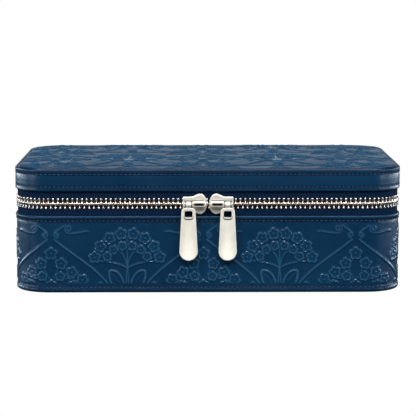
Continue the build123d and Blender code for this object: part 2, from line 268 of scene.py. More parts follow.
def finish_piece(name, points, faces, body, slot, material, stands_for=(), uv=None, crease=60):
    """Makes a smooth mesh object from points and faces, attaches it to its body and hides its CAD nodes.

    The faces must point outwards, so they are turned over if the volume they enclose, the sum
    over triangles of a . (b x c) / 6, comes out negative. A piece with no body is left unattached.
    """
    points = np.asarray(points, float).reshape(-1, 3)
    mesh = bpy.data.meshes.new(name)
    mesh.from_pydata(points.tolist(), [], [list(f) for f in faces])
    if uv is not None:
        layer = mesh.uv_layers.new(name="length_and_width")
        corner = np.empty(len(mesh.loops), int)
        mesh.loops.foreach_get("vertex_index", corner)
        layer.data.foreach_set("uv", np.asarray(uv, float).reshape(-1, 2)[corner].ravel())
    mesh.calc_loop_triangles()
    corners = np.empty(len(mesh.loop_triangles) * 3, int)
    mesh.loop_triangles.foreach_get("vertices", corners)
    a, b, c = np.moveaxis(points[corners.reshape(-1, 3)], 1, 0)
    if (a * np.cross(b, c)).sum() < 0:
        mesh.flip_normals()
    mesh.shade_smooth()
    mesh.set_sharp_from_angle(angle=math.radians(crease))
    piece = bpy.data.objects.new(name, mesh)
    bpy.context.scene.collection.objects.link(piece)
    piece.data.materials.append(material)
    if body:
        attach(piece, body)
    if stands_for:
        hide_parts(*stands_for)
    return piece


print("grid of 3 by 4 points gives", len(grid_quads(3, 4)), "quads")


# %% Lofts
def loft(rings, closed=False):
    """Joins rings (r, n, 3) into a tube with flat ends, or into a ring of rings if closed."""
    rings = np.asarray(rings, float)
    count, size = rings.shape[:2]
    faces = grid_quads(count, size, closed, True).tolist()
    if not closed:
        faces += [list(range(size))[::-1], list(range((count - 1) * size, count * size))]
    return rings.reshape(-1, 3), faces


def lofts(rings):
    """Many equal tubes at once, from rings (k, r, n, 3)."""
    rings = np.asarray(rings, float)
    many, count, size = rings.shape[:3]
    starts = (np.arange(many) * count * size)[:, None, None]
    quads = (grid_quads(count, size, False, True)[None] + starts).reshape(-1, 4)
    first = np.arange(size)[::-1][None, None] + starts
    last = (np.arange(size) + (count - 1) * size)[None, None] + starts
    ends = np.concatenate([first.reshape(-1, size), last.reshape(-1, size)])
    return rings.reshape(-1, 3), quads.tolist() + ends.tolist()


def together(*parts):
    """Several (points, faces) as one."""
    points, faces, start = [], [], 0
    for some_points, some_faces in parts:
        points.append(some_points)
        faces += [[start + corner for corner in face] for face in some_faces]
        start += len(some_points)
    return np.concatenate(points), faces


print("a loft of 2 rings of 4 has", len(loft(np.zeros((2, 4, 3)))[1]), "faces")

# %% Numbers on a mesh
def set_attribute(piece, name, values):
    """Stores one number for each vertex, for a material to read."""
    layer = piece.data.attributes.new(name, "FLOAT", "POINT")
    layer.data.foreach_set("value", np.asarray(values, np.float32).ravel())


def count_triangles(piece):
    """A face with n corners is n - 2 triangles."""
    corners = np.empty(len(piece.data.polygons), int)
    piece.data.polygons.foreach_get("loop_total", corners)
    return int((corners - 2).sum())


print("the grid of 3 by 4 points is", 2 * len(grid_quads(3, 4)), "triangles")

# %% [markdown]
# ## Materials
# Real hide is never one flat blue. Each finish mixes a slow mottle, a fine pebble grain in the
# bump, and a little change of gloss. A small toolkit keeps the node trees short: one call makes
# a Principled shader with its constants, and others add noise, ramps and bumps to it.

# %% Node toolkit
def new_finish(name, colour, roughness, **constants):
    """A material with one Principled shader; the constants go on the shader's own sockets."""
    material = bpy.data.materials.new(name)
    tree = tree_of(material)
    shader = new_node(tree, "BsdfPrincipled", Base_Color=(*colour, 1), Roughness=roughness, **constants)
    join(tree, shader.outputs[0], new_node(tree, "OutputMaterial").inputs["Surface"])
    return material, tree, shader


def texture(tree, kind, where=None, **values):
    """A texture on Object coordinates, or on another vector; its scale is per metre."""
    node = new_node(tree, kind, **values)
    join(tree, where or new_node(tree, "TexCoord").outputs["Object"], node.inputs["Vector"])
    return node


def noise(tree, scale, detail=2.0, where=None):
    """Cloudy noise between 0 and 1."""
    return texture(tree, "TexNoise", where, Scale=scale, Detail=detail).outputs[0]


def cells(tree, scale):
    """Distance from the middle of the nearest cell, for pores."""
    return texture(tree, "TexVoronoi", Scale=scale).outputs[0]


def ramp(tree, value, low, high, low_at=0.0, high_at=1.0):
    """Colours or greys between two ends of a value."""
    node = new_node(tree, "ValToRGB")
    ends = node.color_ramp.elements
    ends[0].position, ends[1].position = low_at, high_at
    ends[0].color, ends[1].color = (*low, 1), (*high, 1)
    join(tree, value, node.inputs["Fac"])
    return node.outputs["Color"]


def drive(tree, shader, **sources):
    """Links values to the shader's inputs by name; an underscore stands for a space."""
    for socket, source in sources.items():
        join(tree, source, shader.inputs[socket.replace("_", " ")])


def vertex_value(tree, name):
    """Reads a number that is stored at each vertex."""
    node = new_node(tree, "Attribute")
    node.attribute_name = name
    return node.outputs["Fac"]


print("finishes start from", new_finish.__name__)

# %% Node arithmetic
def between(tree, value, low, high, low_at=0.0, high_at=1.0):
    """Maps a value from one range to another and clamps it there."""
    node = new_node(tree, "MapRange", From_Min=low_at, From_Max=high_at, To_Min=low, To_Max=high)
    join(tree, value, node.inputs["Value"])
    return node.outputs["Result"]


def feed(tree, socket, value):
    """Puts a number or a colour on a socket, or links another node's output to it."""
    if isinstance(value, (int, float)):
        socket.default_value = value
    elif isinstance(value, tuple):
        socket.default_value = (*value, 1)
    else:
        join(tree, value, socket)


def sums(tree, operation, first, second):
    """One step of arithmetic on two values or numbers."""
    node = new_node(tree, "Math")
    node.operation = operation
    feed(tree, node.inputs[0], first)
    feed(tree, node.inputs[1], second)
    return node.outputs[0]


def blend_colours(tree, factor, first, second):
    """Mixes two colours by a factor."""
    node = new_node(tree, "Mix")
    node.data_type = "RGBA"
    for number, value in ((0, factor), (6, first), (7, second)):
        feed(tree, node.inputs[number], value)
    return node.outputs[2]


def bump(tree, shader, *layers):
    """Chains bumps into the shader's normal: each layer is (height, strength, depth in metres)."""
    normal = None
    for height, strength, depth in layers:
        node = new_node(tree, "Bump", Strength=strength, Distance=depth)
        join(tree, height, node.inputs["Height"])
        if normal is not None:
            join(tree, normal, node.inputs["Normal"])
        normal = node.outputs["Normal"]
    join(tree, normal, shader.inputs["Normal"])


print("toolkit ready")

# %% [markdown]
# ### Leather
# Petrol-blue coated calf: a deep colour with slow mottling, pores and a pebble grain about half
# a millimetre across, and a thin glossy coat. The embossed skins also carry a "relief" value at
# each vertex, so the raised lines can be a touch paler and more polished than the ground. The
# paler colour is partly wear and partly a painted highlight. A "seam" value paints shade into
# the seams and the stitch troughs.

# %% Leather finish
def leather_finish(name, deep, pale, embossed):
    """Coated leather: mottle between two blues, pebble grain, pores and paler raised places.

    The seams get painted shade by the "seam" value of each vertex. On an embossed hide, the raised
    lines are paler and glossier by their "relief" value. The paler colour is partly wear and
    partly a painted highlight.
    """
    material, tree, shader = new_finish(
        name, deep, 0.32, Specular_IOR_Level=0.24, Coat_Weight=0.08, Coat_Roughness=0.18, Coat_IOR=1.35)
    mottle = noise(tree, 38, 4)
    colour = ramp(tree, mottle, deep, pale, 0.30, 0.72)
    pores = cells(tree, 1500)
    pits = between(tree, pores, 0.0, 0.35, 0.55, 0.0)
    colour = blend_colours(tree, pits, colour, (0.001, 0.006, 0.018))
    gloss = between(tree, noise(tree, 95, 3), 0.27, 0.37, 0.3, 0.7)
    # Painted shade: the seams and stitch troughs are blended towards a near-black blue by their "seam"
    # value.
    colour = blend_colours(tree, vertex_value(tree, "seam"), colour, (0.0006, 0.006, 0.022))
    if embossed:
        # Painted highlight, partly wear: the raised lines are blended towards a paler blue.
        ridge_wear_and_highlight = between(tree, vertex_value(tree, "relief"), 0.0, 1.0, 0.25, 0.9)
        colour = blend_colours(tree, sums(tree, "MULTIPLY", ridge_wear_and_highlight, 0.72), colour, (0.020, 0.092, 0.172))
        gloss = sums(tree, "SUBTRACT", gloss, sums(tree, "MULTIPLY", ridge_wear_and_highlight, 0.10))
        drive(tree, shader, Specular_IOR_Level=between(tree, ridge_wear_and_highlight, 0.22, 0.60))
    drive(tree, shader, Base_Color=colour, Roughness=gloss)
    bump(tree, shader,
         (noise(tree, 420, 3), 0.10, 0.00030),
         (pores, 0.30, 0.00010),
         (noise(tree, 5200, 2), 0.12, 0.00006))
    return material


DEEP_BLUE, PETROL = (0.0007, 0.0180, 0.0480), (0.0016, 0.0260, 0.0640)
embossed_leather = leather_finish("embossed_leather", DEEP_BLUE, PETROL, True)
plain_leather = leather_finish("plain_leather", DEEP_BLUE, PETROL, False)
print("leathers ready")

# %% [markdown]
# ### Cloth, thread and board
# The zip tape is a navy herringbone: ribs that run aslant and turn back every few threads, so
# its slant is read from the tape's own length and width. The linings are a short-napped suede
# with a soft sheen, and the boards and foams inside keep a fibrous or a porous look.

# %% Tape and thread
HERRINGBONE_FOLD, HERRINGBONE_PITCH = 1.9 * MM, 1.7 * MM
zip_tape_cloth, tree, shader = new_finish(
    "zip_tape", (0.003, 0.012, 0.045), 0.85, Specular_IOR_Level=0.05)
length_width = new_node(tree, "UVMap")
length_width.uv_map = "length_and_width"
split = new_node(tree, "SeparateXYZ")
join(tree, length_width.outputs[0], split.inputs[0])
fold = sums(tree, "PINGPONG", split.outputs["Y"], HERRINGBONE_FOLD)
zigzag = sums(tree, "ADD", split.outputs["X"], fold)
slant = sums(tree, "MULTIPLY", zigzag, 2 * math.pi / HERRINGBONE_PITCH)
rib = between(tree, sums(tree, "SINE", slant, 0.0), 0.0, 1.0, -1.0, 1.0)
threads = noise(tree, 2600, 2)
shade = sums(tree, "MULTIPLY", rib, between(tree, threads, 0.45, 1.0, 0.3, 0.7))
drive(tree, shader, Base_Color=ramp(
    tree, shade, (0.0002, 0.0015, 0.0075), (0.0032, 0.020, 0.056), 0.18, 0.60))
bump(tree, shader, (rib, 0.55, 0.00022), (threads, 0.35, 0.00012))

thread, tree, shader = new_finish("stitch_thread", (0.003, 0.020, 0.055), 0.45, Specular_IOR_Level=0.28)
twist = texture(tree, "TexWave", Scale=900)
twist.bands_direction = "DIAGONAL"
ply = twist.outputs[0]
drive(tree, shader, Base_Color=ramp(tree, ply, (0.0010, 0.010, 0.034), (0.0055, 0.034, 0.085)))
bump(tree, shader, (ply, 0.4, 0.00010))
print("tape and thread ready")


# %% Linings
def napped_cloth(name, deep, pale, grain, sheen):
    """Suede or velvet: fine nap, slow brushed patches and a soft sheen at the edges."""
    material, tree, shader = new_finish(
        name, deep, 0.92, Specular_IOR_Level=0.1, Sheen_Weight=sheen, Sheen_Roughness=0.45)
    nap = noise(tree, grain, 3)
    brushed = noise(tree, 45, 3)
    mixed = sums(tree, "ADD", sums(tree, "MULTIPLY", nap, 0.45), sums(tree, "MULTIPLY", brushed, 0.55))
    drive(tree, shader, Base_Color=ramp(tree, mixed, deep, pale, 0.36, 0.64))
    bump(tree, shader, (nap, 0.45, 0.00020), (brushed, 0.2, 0.00060))
    return material


lining_suede = napped_cloth("lining", (0.20, 0.155, 0.115), (0.36, 0.29, 0.22), 2400, 0.35)
roll_velvet = napped_cloth("ring_roll_cloth", (0.17, 0.130, 0.095), (0.31, 0.245, 0.185), 1900, 0.6)
print("linings ready")

# %% Board and foam
board_grey, tree, shader = new_finish("board", (0.30, 0.27, 0.23), 0.95, Specular_IOR_Level=0.15)
fibres = noise(tree, 700, 5)
drive(tree, shader, Base_Color=ramp(
    tree, fibres, (0.20, 0.175, 0.145), (0.42, 0.38, 0.33), 0.3, 0.7))
bump(tree, shader, (fibres, 0.35, 0.00015))

foam_white, tree, shader = new_finish("foam", (0.72, 0.70, 0.62), 1.0, Specular_IOR_Level=0.1)
pores = cells(tree, 1400)
drive(tree, shader, Base_Color=ramp(
    tree, pores, (0.42, 0.40, 0.33), (0.80, 0.78, 0.70), 0.05, 0.5))
bump(tree, shader, (pores, 0.5, 0.00030))
print("boards and foams ready")


# %% [markdown]
# ### Metal and mirror
# The sliders and pulls are plated zinc in a pale champagne gold, tumbled rather than mirror
# bright. The teeth are a slightly pinker brass.

# %% Metal finishes
def plated_metal(name, deep, pale, roughness, metallic):
    """Plated metal: faint handling marks, a fine satin brushing, and painted shade in the recesses.

    The painted shade is stored at each vertex, and there the surface is dark and no longer metallic.
    """
    material, tree, shader = new_finish(
        name, pale, roughness, Metallic=metallic, Specular_IOR_Level=0.7)
    plating = ramp(tree, noise(tree, 260, 4), deep, pale, 0.28, 0.62)
    painted_shade = vertex_value(tree, "painted_shade")
    satin = between(tree, noise(tree, 620, 3), roughness - 0.02, roughness + 0.05, 0.3, 0.7)
    # Painted shade: where the value is 1 the colour turns near-black and the metal stops being metallic.
    drive(tree, shader, Base_Color=blend_colours(tree, painted_shade, plating, (0.020, 0.017, 0.014)),
          Metallic=between(tree, painted_shade, metallic, 0.0), Roughness=satin)
    stretched = texture(tree, "Mapping", Scale=(1.0, 1.0, 0.06)).outputs[0]
    bump(tree, shader, (noise(tree, 5000, 2, stretched), 0.02, 0.00001))
    return material


# The deep and the pale colour, the roughness, and how metallic it is.
pull_metal = plated_metal("pull_metal", (0.80, 0.745, 0.64), (0.87, 0.82, 0.725), 0.34, 0.35)
# The slider's plating is a darker copy of the pulls': painted shade that keeps it from blowing out under
# the lamps.
slider_metal = plated_metal("slider_metal", (0.68, 0.63, 0.55), (0.78, 0.73, 0.64), 0.33, 0.50)
zip_metal = plated_metal("zip_metal", (0.42, 0.365, 0.335), (0.70, 0.64, 0.60), 0.26, 0.80)

mirror_silver, tree, shader = new_finish("mirror", (0.90, 0.92, 0.92), 0.02, Metallic=1.0)
haze = noise(tree, 30, 4)
drive(tree, shader, Roughness=between(tree, haze, 0.01, 0.05, 0.4, 0.8),
      Base_Color=ramp(tree, haze, (0.88, 0.90, 0.90), (0.93, 0.95, 0.95)))
print("metals ready")

# %% [markdown]
# ## The embossed pattern
# The hide was pressed between heated plates with a flowing garden pattern. It is drawn here once,
# as a height map of one repeat, from a few curves: an ogee net, a fan of stems that ends in
# five-petalled blossoms, a pair of leaves at its foot, a low cluster of blossoms and some curls.
# Every skin then looks its heights up in this repeat, so the pattern is real shape in the mesh.
# Distances on the canvas are in millimetres.

# %% Canvas for one repeat
REPEAT_X, REPEAT_Y, CELL = 86.0, 64.0, 0.25
canvas_x, canvas_y = np.meshgrid(
    np.arange(0, REPEAT_X, CELL), np.arange(0, REPEAT_Y, CELL), indexing="ij")
canvas = np.zeros_like(canvas_x)


def offsets(x, y):
    """Signed distances from a point to every cell, going the short way round the repeat."""
    dx = np.mod(canvas_x - x + REPEAT_X / 2, REPEAT_X) - REPEAT_X / 2
    dy = np.mod(canvas_y - y + REPEAT_Y / 2, REPEAT_Y) - REPEAT_Y / 2
    return dx, dy


def raise_line(points, width=0.55, height=1.0):
    """Presses a rounded line: height times exp(-(distance / width) squared) from its points."""
    nearest = np.full_like(canvas, np.inf)
    for x, y in points:
        dx, dy = offsets(x, y)
        np.minimum(nearest, dx * dx + dy * dy, out=nearest)
    np.maximum(canvas, height * np.exp(-nearest / width**2), out=canvas)


def curve(p0, p1, p2, p3, steps=60):
    """Points of a cubic Bezier: the four guides weighted by the Bernstein polynomials."""
    t = np.linspace(0, 1, steps)[:, None]
    guides = [np.array(p, float) for p in (p0, p1, p2, p3)]
    weights = [(1 - t) ** 3, 3 * t * (1 - t) ** 2, 3 * t * t * (1 - t), t**3]
    return sum(w * g for w, g in zip(weights, guides))


def mirrored(guides, side, middle=0.0):
    """The same guides to the right or the left (side 1 or -1) of a middle line."""
    return [(middle + side * x, y) for x, y in guides]


def curl(x, y, size, side):
    """A spiral of 1.4 turns: the radius shrinks evenly as the angle grows."""
    t = np.linspace(0, 1, 70)
    angle = side * t * 1.4 * 2 * math.pi - math.pi / 2
    radius = size * (1 - 0.8 * t)
    return np.stack([x + radius * np.cos(angle), y + radius * np.sin(angle)], 1)


print("canvas", canvas.shape)


# %% A blossom
def blossom(x, y, size, turn=0.0):
    """A five-petalled flower: a soft dome inside a raised rim, veins between petals, a round eye.

    The rim lies where the distance from the eye equals size times 0.60 + 0.40 |cos(2.5 angle)|
    to the power 0.7, which is five rounded lobes.
    """
    dx, dy = offsets(x, y)
    reach, angle = np.hypot(dx, dy), np.arctan2(dy, dx) - math.pi / 2 - turn
    lobes = size * (0.60 + 0.40 * np.abs(np.cos(2.5 * angle)) ** 0.7)
    inside = lobes - reach
    dome = 0.34 * np.clip(inside / (0.35 * size), 0, 1) ** 0.6
    rim = np.exp(-((inside - 0.1) / 0.40) ** 2)
    vein = np.exp(-(reach * np.sin(2.5 * angle - math.pi / 2) / 2.5 / 0.32) ** 2)
    vein = 0.55 * vein * np.clip((reach - 0.20 * size) / 0.8, 0, 1) * (inside > 0)
    eye = 0.95 * np.exp(-(reach / (0.17 * size)) ** 2)
    flower = np.where(inside > -1.2, np.maximum.reduce([dome - vein, rim, eye]), 0.0)
    mask = np.clip((inside + 1.2) / 0.6, 0, 1)
    canvas[:] = canvas * (1 - mask) + np.maximum(flower, 0) * mask


print("a blossom spans", round(2 * 3.3 / CELL), "cells")

# %% Draw the fan and the net
FAN_FOOT, FAN_SPLIT = 1.0, 15.0
for side in (-1, 1):
    for net in (((7.6, -1.0), (13.0, 12.0), (26.0, 18.0), (41.0, 30.5)),
                ((41.0, 34.5), (27.0, 45.0), (14.0, 52.0), (8.6, 64.0))):
        raise_line(curve(*mirrored(net, side), 110), 0.44)
    raise_line(curl(side * 40.2, 33.0, 1.9, -side), 0.42, 0.8)
    raise_line(curl(side * 14.8, 4.6, 2.1, side), 0.42, 0.85)
    raise_line(curl(side * 33.0, 36.6, 2.4, side), 0.42, 0.8)
    leaf_foot, leaf_tip = (1.6, 0.0), (10.2, 12.6)
    for guides, width, height in (
            (((33.0, 34.2), (28.0, 33.6), (24.5, 36.0), (21.5, 35.0)), 0.42, 0.75),
            (((38.0, 38.6), (32.0, 41.2), (27.0, 39.0), (23.0, 40.6)), 0.42, 0.7),
            ((leaf_foot, (1.2, 8.0), (5.2, 14.2), leaf_tip), 0.48, 1.0),
            ((leaf_foot, (7.6, 1.2), (10.8, 6.6), leaf_tip), 0.48, 1.0),
            (((2.4, 1.4), (4.2, 5.6), (6.6, 9.2), (9.2, 11.4)), 0.34, 0.6),
            (((0.7, FAN_FOOT), (0.7, 7.0), (0.6, 11.0), (0.0, FAN_SPLIT)), 0.40, 0.8),
            (((0.0, FAN_SPLIT - 1), (1.14, 22.86), (4.56, 24.892), (7.6, 25.4)), 0.40, 0.85),
            (((0.0, FAN_SPLIT - 1), (2.25, 16.38), (9.0, 17.836), (15.0, 18.2)), 0.40, 0.85)):
        raise_line(curve(*mirrored(guides, side)), width, height)
raise_line(curve((0, FAN_SPLIT - 1), (0, 20), (0, 26), (0, 32)), 0.40, 0.85)
for step in range(6):
    a = math.radians(30 + 24 * step)
    blossom(13.0 * math.cos(a), 14.6 + 12.6 * math.sin(a), 2.6, a)
for step in range(8):
    a = math.radians(17 + 20.86 * step)
    blossom(19.2 * math.cos(a), 14.8 + 19.4 * math.sin(a), 3.3, a - math.pi / 2)
print("raised share so far", round(float((canvas > 0.3).mean()), 3))

# %% [markdown]
# The low cluster stands half a repeat to the side, in the gap that the net leaves under its peak.
# A few buds and a rosette fill the band between two rows of fans, which shows on the lid.

# %% Finish the repeat
MID = REPEAT_X / 2
for side in (-1, 1):
    for guides in (((0.0, 2.0), (3.0, 8.0), (8.0, 9.0), (12.0, 8.0)),
                   ((0.0, 4.0), (2.0, 12.0), (4.0, 14.0), (7.0, 17.0))):
        raise_line(curve(*mirrored(guides, side, MID)), 0.40, 0.8)
    for x, y, size in (
            (17.6, 7.6, 3.3), (11.6, 11.8, 3.3), (5.6, 16.8, 3.3), (12.0, 4.6, 2.7), (5.0, 9.6, 2.8)):
        blossom(MID + side * x, y, size, -0.03 * x * side)
    guides = ((2.0, 44.0), (8.0, 50.0), (14.0, 42.0), (19.0, 46.0))
    raise_line(curve(*mirrored(guides, side)), 0.42, 0.75)
    raise_line(curl(side * 19.6, 48.0, 2.2, side), 0.42, 0.8)
    guides = ((0.0, 38.5), (2.0, 44.0), (8.0, 46.0), (12.0, 52.0))
    raise_line(curve(*mirrored(guides, side, MID)), 0.42, 0.8)
    for x, y, size in ((15.0, 50.0, 3.2), (11.0, 55.6, 3.4), (4.6, 52.4, 2.8), (8.4, 46.4, 2.9)):
        blossom(MID + side * x, y, size, -0.03 * x * side)
raise_line(curve((MID, 38.5), (MID, 44), (MID, 50), (MID, 56)), 0.40, 0.8)
blossom(MID, 22.6, 3.5)
blossom(MID, 4.8, 2.9)
blossom(MID, 58.4, 3.6)
blossom(0.0, 46.5, 3.6, 0.3)
blossom(0.0, 54.4, 2.8, 0.0)
print("repeat", canvas.shape, "raised share", round(float((canvas > 0.3).mean()), 3))


# %% Look the pattern up
def pattern(x, y):
    """Height, 0 to 1, of the pattern at places in millimetres, blended between four cells."""
    u, v = np.mod(x, REPEAT_X) / CELL, np.mod(y, REPEAT_Y) / CELL
    i, j = np.floor(u).astype(int), np.floor(v).astype(int)
    a, b = u - i, v - j
    n, m = canvas.shape
    i, j, i2, j2 = i % n, j % m, (i + 1) % n, (j + 1) % m
    low = canvas[i, j] * (1 - a) + canvas[i2, j] * a
    high = canvas[i, j2] * (1 - a) + canvas[i2, j2] * a
    return low * (1 - b) + high * b


def fade(value, low, high):
    """A smooth step from 0 at low to 1 at high."""
    t = np.clip((value - low) / (high - low), 0, 1)
    return t * t * (3 - 2 * t)


print("pattern at the fan's top flower", round(float(pattern(np.array(0.0), np.array(33.6))), 2))

# %% [markdown]
# ## Skins that wrap the sides
# A skin is a profile carried round the case. The profile is a closed loop, up the outside and
# down the back of the leather, so the mesh is watertight. The leather is turned over at its rims,
# which leaves a soft roll with a row of stitches sunk just below it. The face between the rows
# swells a little, and the stitches pull small puckers along their row.

# %% Profile helpers
STITCH = 2.5 * MM


def bend_points(centre_inset, centre_height, radius, from_deg, to_deg, count):
    """Points (inset, height) on an arc; 0 degrees points outwards and 90 points up."""
    a = np.radians(np.linspace(from_deg, to_deg, count))
    return np.stack([centre_inset - radius * np.cos(a), centre_height + radius * np.sin(a)], 1)


def straight(inset, start, end, count):
    """Points (inset, height) on an upright line, from one height to another."""
    return np.stack([np.full(count, inset), np.linspace(start, end, count)], 1)


def sunk_rows(height, rows, half_width):
    """How much the stitch rows pull the leather in at a height: 1 on a row, a bell curve beside it."""
    return sum(np.exp(-((height - row) / half_width) ** 2) for row in rows)


def columns_round(front, corner, side, rear):
    """Distances round the case from the middle of the back: fine in front, coarser behind."""
    half = (
        (STRAIGHT_X, rear), (ARC, rear), (2 * STRAIGHT_Y, side), (ARC, corner), (STRAIGHT_X, front))
    pieces, start = [], -AROUND / 2
    for length, step in half + half[::-1]:
        pieces.append(start + np.linspace(0, length, max(2, round(length / step)), endpoint=False))
        start += length
    return np.concatenate(pieces)


def carried(s, profile):
    """Distance, inset and height of every point when a profile is carried round the case."""
    along, inset = np.meshgrid(s, profile[:, 0], indexing="ij")
    return along, inset, np.broadcast_to(profile[:, 1], inset.shape)


def puckers(s):
    """How hard the thread pulls along a row: a wave from 0 to 1 with one stitch to a cycle."""
    return 0.5 + 0.5 * np.cos(2 * math.pi * s / STITCH)


def waviness(s, z):
    """A slow unevenness of hide over board, within about a tenth of a millimetre."""
    waves = np.sin(61 * s + 1.3) * np.sin(97 * z + 0.4) + np.sin(143 * s + 2.1 * np.sin(80 * z))
    return 0.035 * MM * waves


print("stitch", STITCH, "columns at 1 mm", len(columns_round(MM, MM, MM, MM)))

# %% [markdown]
# ### The base's skin
# The face carries the pattern between the two stitch rows. The relief fades out before the rows
# and at the join in the middle of the back, so nothing runs under a seam.

# %% Base skin
BASE_ROWS = (41.16 * MM, 3.27 * MM)
RELIEF = 0.58 * MM
PATTERN_SHIFT = 45.6
LEATHER = 1.2 * MM
TURNED_EDGE, FOOT = 0.62 * MM, 1.75 * MM
RIM_POINTS = 9


def base_profile():
    """(inset, height) round the base's leather, and which of its points lie on the outer face."""
    rim = bend_points(TURNED_EDGE, BASE_RIM - TURNED_EDGE, TURNED_EDGE, 180, 0, RIM_POINTS)
    face = np.concatenate([
        straight(0.0, 43.0 * MM, 39.4 * MM, 8), straight(0.0, 38.9 * MM, 5.4 * MM, 67),
        straight(0.0, 4.9 * MM, 2.5 * MM, 5)])
    foot = bend_points(FOOT, 1.95 * MM, FOOT, 0, -78, 7)
    behind = np.array([[1.9 * MM, 0.75 * MM], [LEATHER, 3.0 * MM], [LEATHER, 30.0 * MM]])
    profile = np.concatenate([rim, face, foot, behind])
    number = np.arange(len(profile))
    return profile, (number >= RIM_POINTS) & (number < RIM_POINTS + len(face))


def rim_swell(height, rim, reach):
    """The turned rim stands proud: 1 at the rim, falling smoothly to 0 over its reach."""
    return 1 - fade(np.abs(height - rim), 0.35 * reach, reach)


profile, outside = base_profile()
S, INSET, Z = carried(columns_round(0.50 * MM, 0.56 * MM, 0.72 * MM, 0.92 * MM), profile)
relief_zone = fade(Z, 4.2 * MM, 6.2 * MM) * (1 - fade(Z, 38.0 * MM, 39.6 * MM)) * outside
relief_zone = relief_zone * fade(AROUND / 2 - np.abs(S), 1.5 * MM, 4.0 * MM)
relief = pattern(S / MM + PATTERN_SHIFT, Z / MM) * relief_zone
trough = sunk_rows(Z, BASE_ROWS, 0.85 * MM) * outside
set_back = 0.55 * MM * (1 - rim_swell(Z, BASE_RIM, 3.1 * MM)) * fade(Z, 2.2 * MM, 5.0 * MM)
pulled_in = trough * (0.13 + 0.12 * puckers(S)) * MM
depth = INSET + outside * (set_back + waviness(S, Z)) + pulled_in - RELIEF * relief
base_skin = finish_piece(
    "base_skin", wrapped(S, depth, Z), grid_quads(*S.shape, True, True), "base",
    "embossed_leather", embossed_leather, ["base_side_leather"])
set_attribute(base_skin, "relief", relief)
# Painted shade in the stitch troughs.
set_attribute(base_skin, "seam", 0.80 * trough)
print("base skin", S.shape, count_triangles(base_skin), "triangles")

# %% [markdown]
# ### The lid's band and border
# The lid has a plain band. Its leather turns over the top edge and ends in a seam beside the
# panel, so one profile gives the rim roll, the two stitch rows, the padded face between them,
# the top roll and the flat border.

# %% Lid band
LID_ROWS = (60.39 * MM, 67.56 * MM)
BORDER = 1.35 * MM
TOP_ROLL, SEAM_ROLL = 0.68 * MM, 0.5 * MM


def lid_profile():
    """(inset, height) round the lid's leather, and which of its points lie on the band."""
    rim = bend_points(TURNED_EDGE, LID_RIM + TURNED_EDGE, TURNED_EDGE, -180, 0, RIM_POINTS)
    band = straight(0.0, 58.95 * MM, 69.30 * MM, 23)
    roll = bend_points(TOP_ROLL, LID_EDGE - TOP_ROLL, TOP_ROLL, 5, 88, 9)
    seam = bend_points(BORDER - SEAM_ROLL, LID_EDGE - SEAM_ROLL, SEAM_ROLL, 90, 180, 6)
    behind = np.array([
        [BORDER, LID_EDGE - 1.4 * MM], [LEATHER, LID_EDGE - 1.5 * MM], [LEATHER, 62.0 * MM]])
    profile = np.concatenate([rim, band, roll, seam, behind])
    number = np.arange(len(profile))
    return profile, (number >= RIM_POINTS) & (number < RIM_POINTS + len(band))


profile, outside = lid_profile()
S, INSET, Z = carried(columns_round(0.62 * MM, 0.62 * MM, 0.80 * MM, 0.95 * MM), profile)
trough = sunk_rows(Z, LID_ROWS, 0.80 * MM) * outside
flat = (1 - rim_swell(Z, LID_RIM, 6.0 * MM)) * (1 - rim_swell(Z, LID_EDGE, 4.0 * MM))
swell = np.exp(-((Z - 64.0 * MM) / (2.6 * MM)) ** 2)
pulled_in = trough * (0.12 + 0.12 * puckers(S)) * MM
depth = INSET + outside * (flat * (0.24 - 0.16 * swell) * MM + waviness(S, Z)) + pulled_in
lid_band = finish_piece(
    "lid_band", wrapped(S, depth, Z), grid_quads(*S.shape, True, True)[:, ::-1], "lid",
    "plain_leather", plain_leather, ["lid_side_leather"])
# Painted shade along the seam groove at the top edge: the top of the roll and the border are darkened,
# and so are the stitch troughs.
painted_edge_shade = fade(Z, LID_EDGE - 0.62 * MM, LID_EDGE - 0.25 * MM)
set_attribute(lid_band, "seam", np.maximum(0.9 * painted_edge_shade, 0.80 * trough))
print("lid band", S.shape, count_triangles(lid_band), "triangles")

# %% [markdown]
# ## Sheets cut to the plan
# The lid's panel, the underside and the linings of floor and ceiling are sheets cut to a rounded
# rectangle. Their grid has straight rows from side to side. Where the plan rounds off, the rows
# get shorter, and they are spaced by the corner's angle so that the curve stays smooth.

# %% Sheets cut to the plan
def sheet_rows(half_y, radius, corner_rows, side_rows):
    """Rows across a rounded sheet, spaced by the corner's angle where the plan rounds off."""
    turn = np.radians(np.linspace(90, 0, corner_rows, endpoint=False))
    low = np.concatenate([
        half_y - radius + radius * np.sin(turn), np.linspace(half_y - radius, 0, side_rows)])
    return np.concatenate([-low, low[-2::-1]])


def sheet_grid(half_x, half_y, radius, corner_rows, side_rows, across, edge=10):
    """X, Y and the distance in from the outline, for straight rows that fill a rounded sheet."""
    y = sheet_rows(half_y, radius, corner_rows, side_rows)
    past = np.maximum(np.abs(y) - (half_y - radius), 0)
    reach = half_x - radius + np.sqrt(np.maximum(radius**2 - past**2, 0))
    rim = 1 - 0.030 * np.linspace(0, 1, edge, endpoint=False) ** 2
    u = np.concatenate([rim, np.linspace(0.970, -0.970, across), -rim[::-1]])
    X = u[None, :] * reach[:, None]
    Y = np.broadcast_to(y[:, None], X.shape)
    qx, qy = np.abs(X) - (half_x - radius), np.abs(Y) - (half_y - radius)
    outside = np.hypot(np.maximum(qx, 0), np.maximum(qy, 0))
    return X, Y, np.maximum(radius - outside - np.minimum(np.maximum(qx, qy), 0), 0)


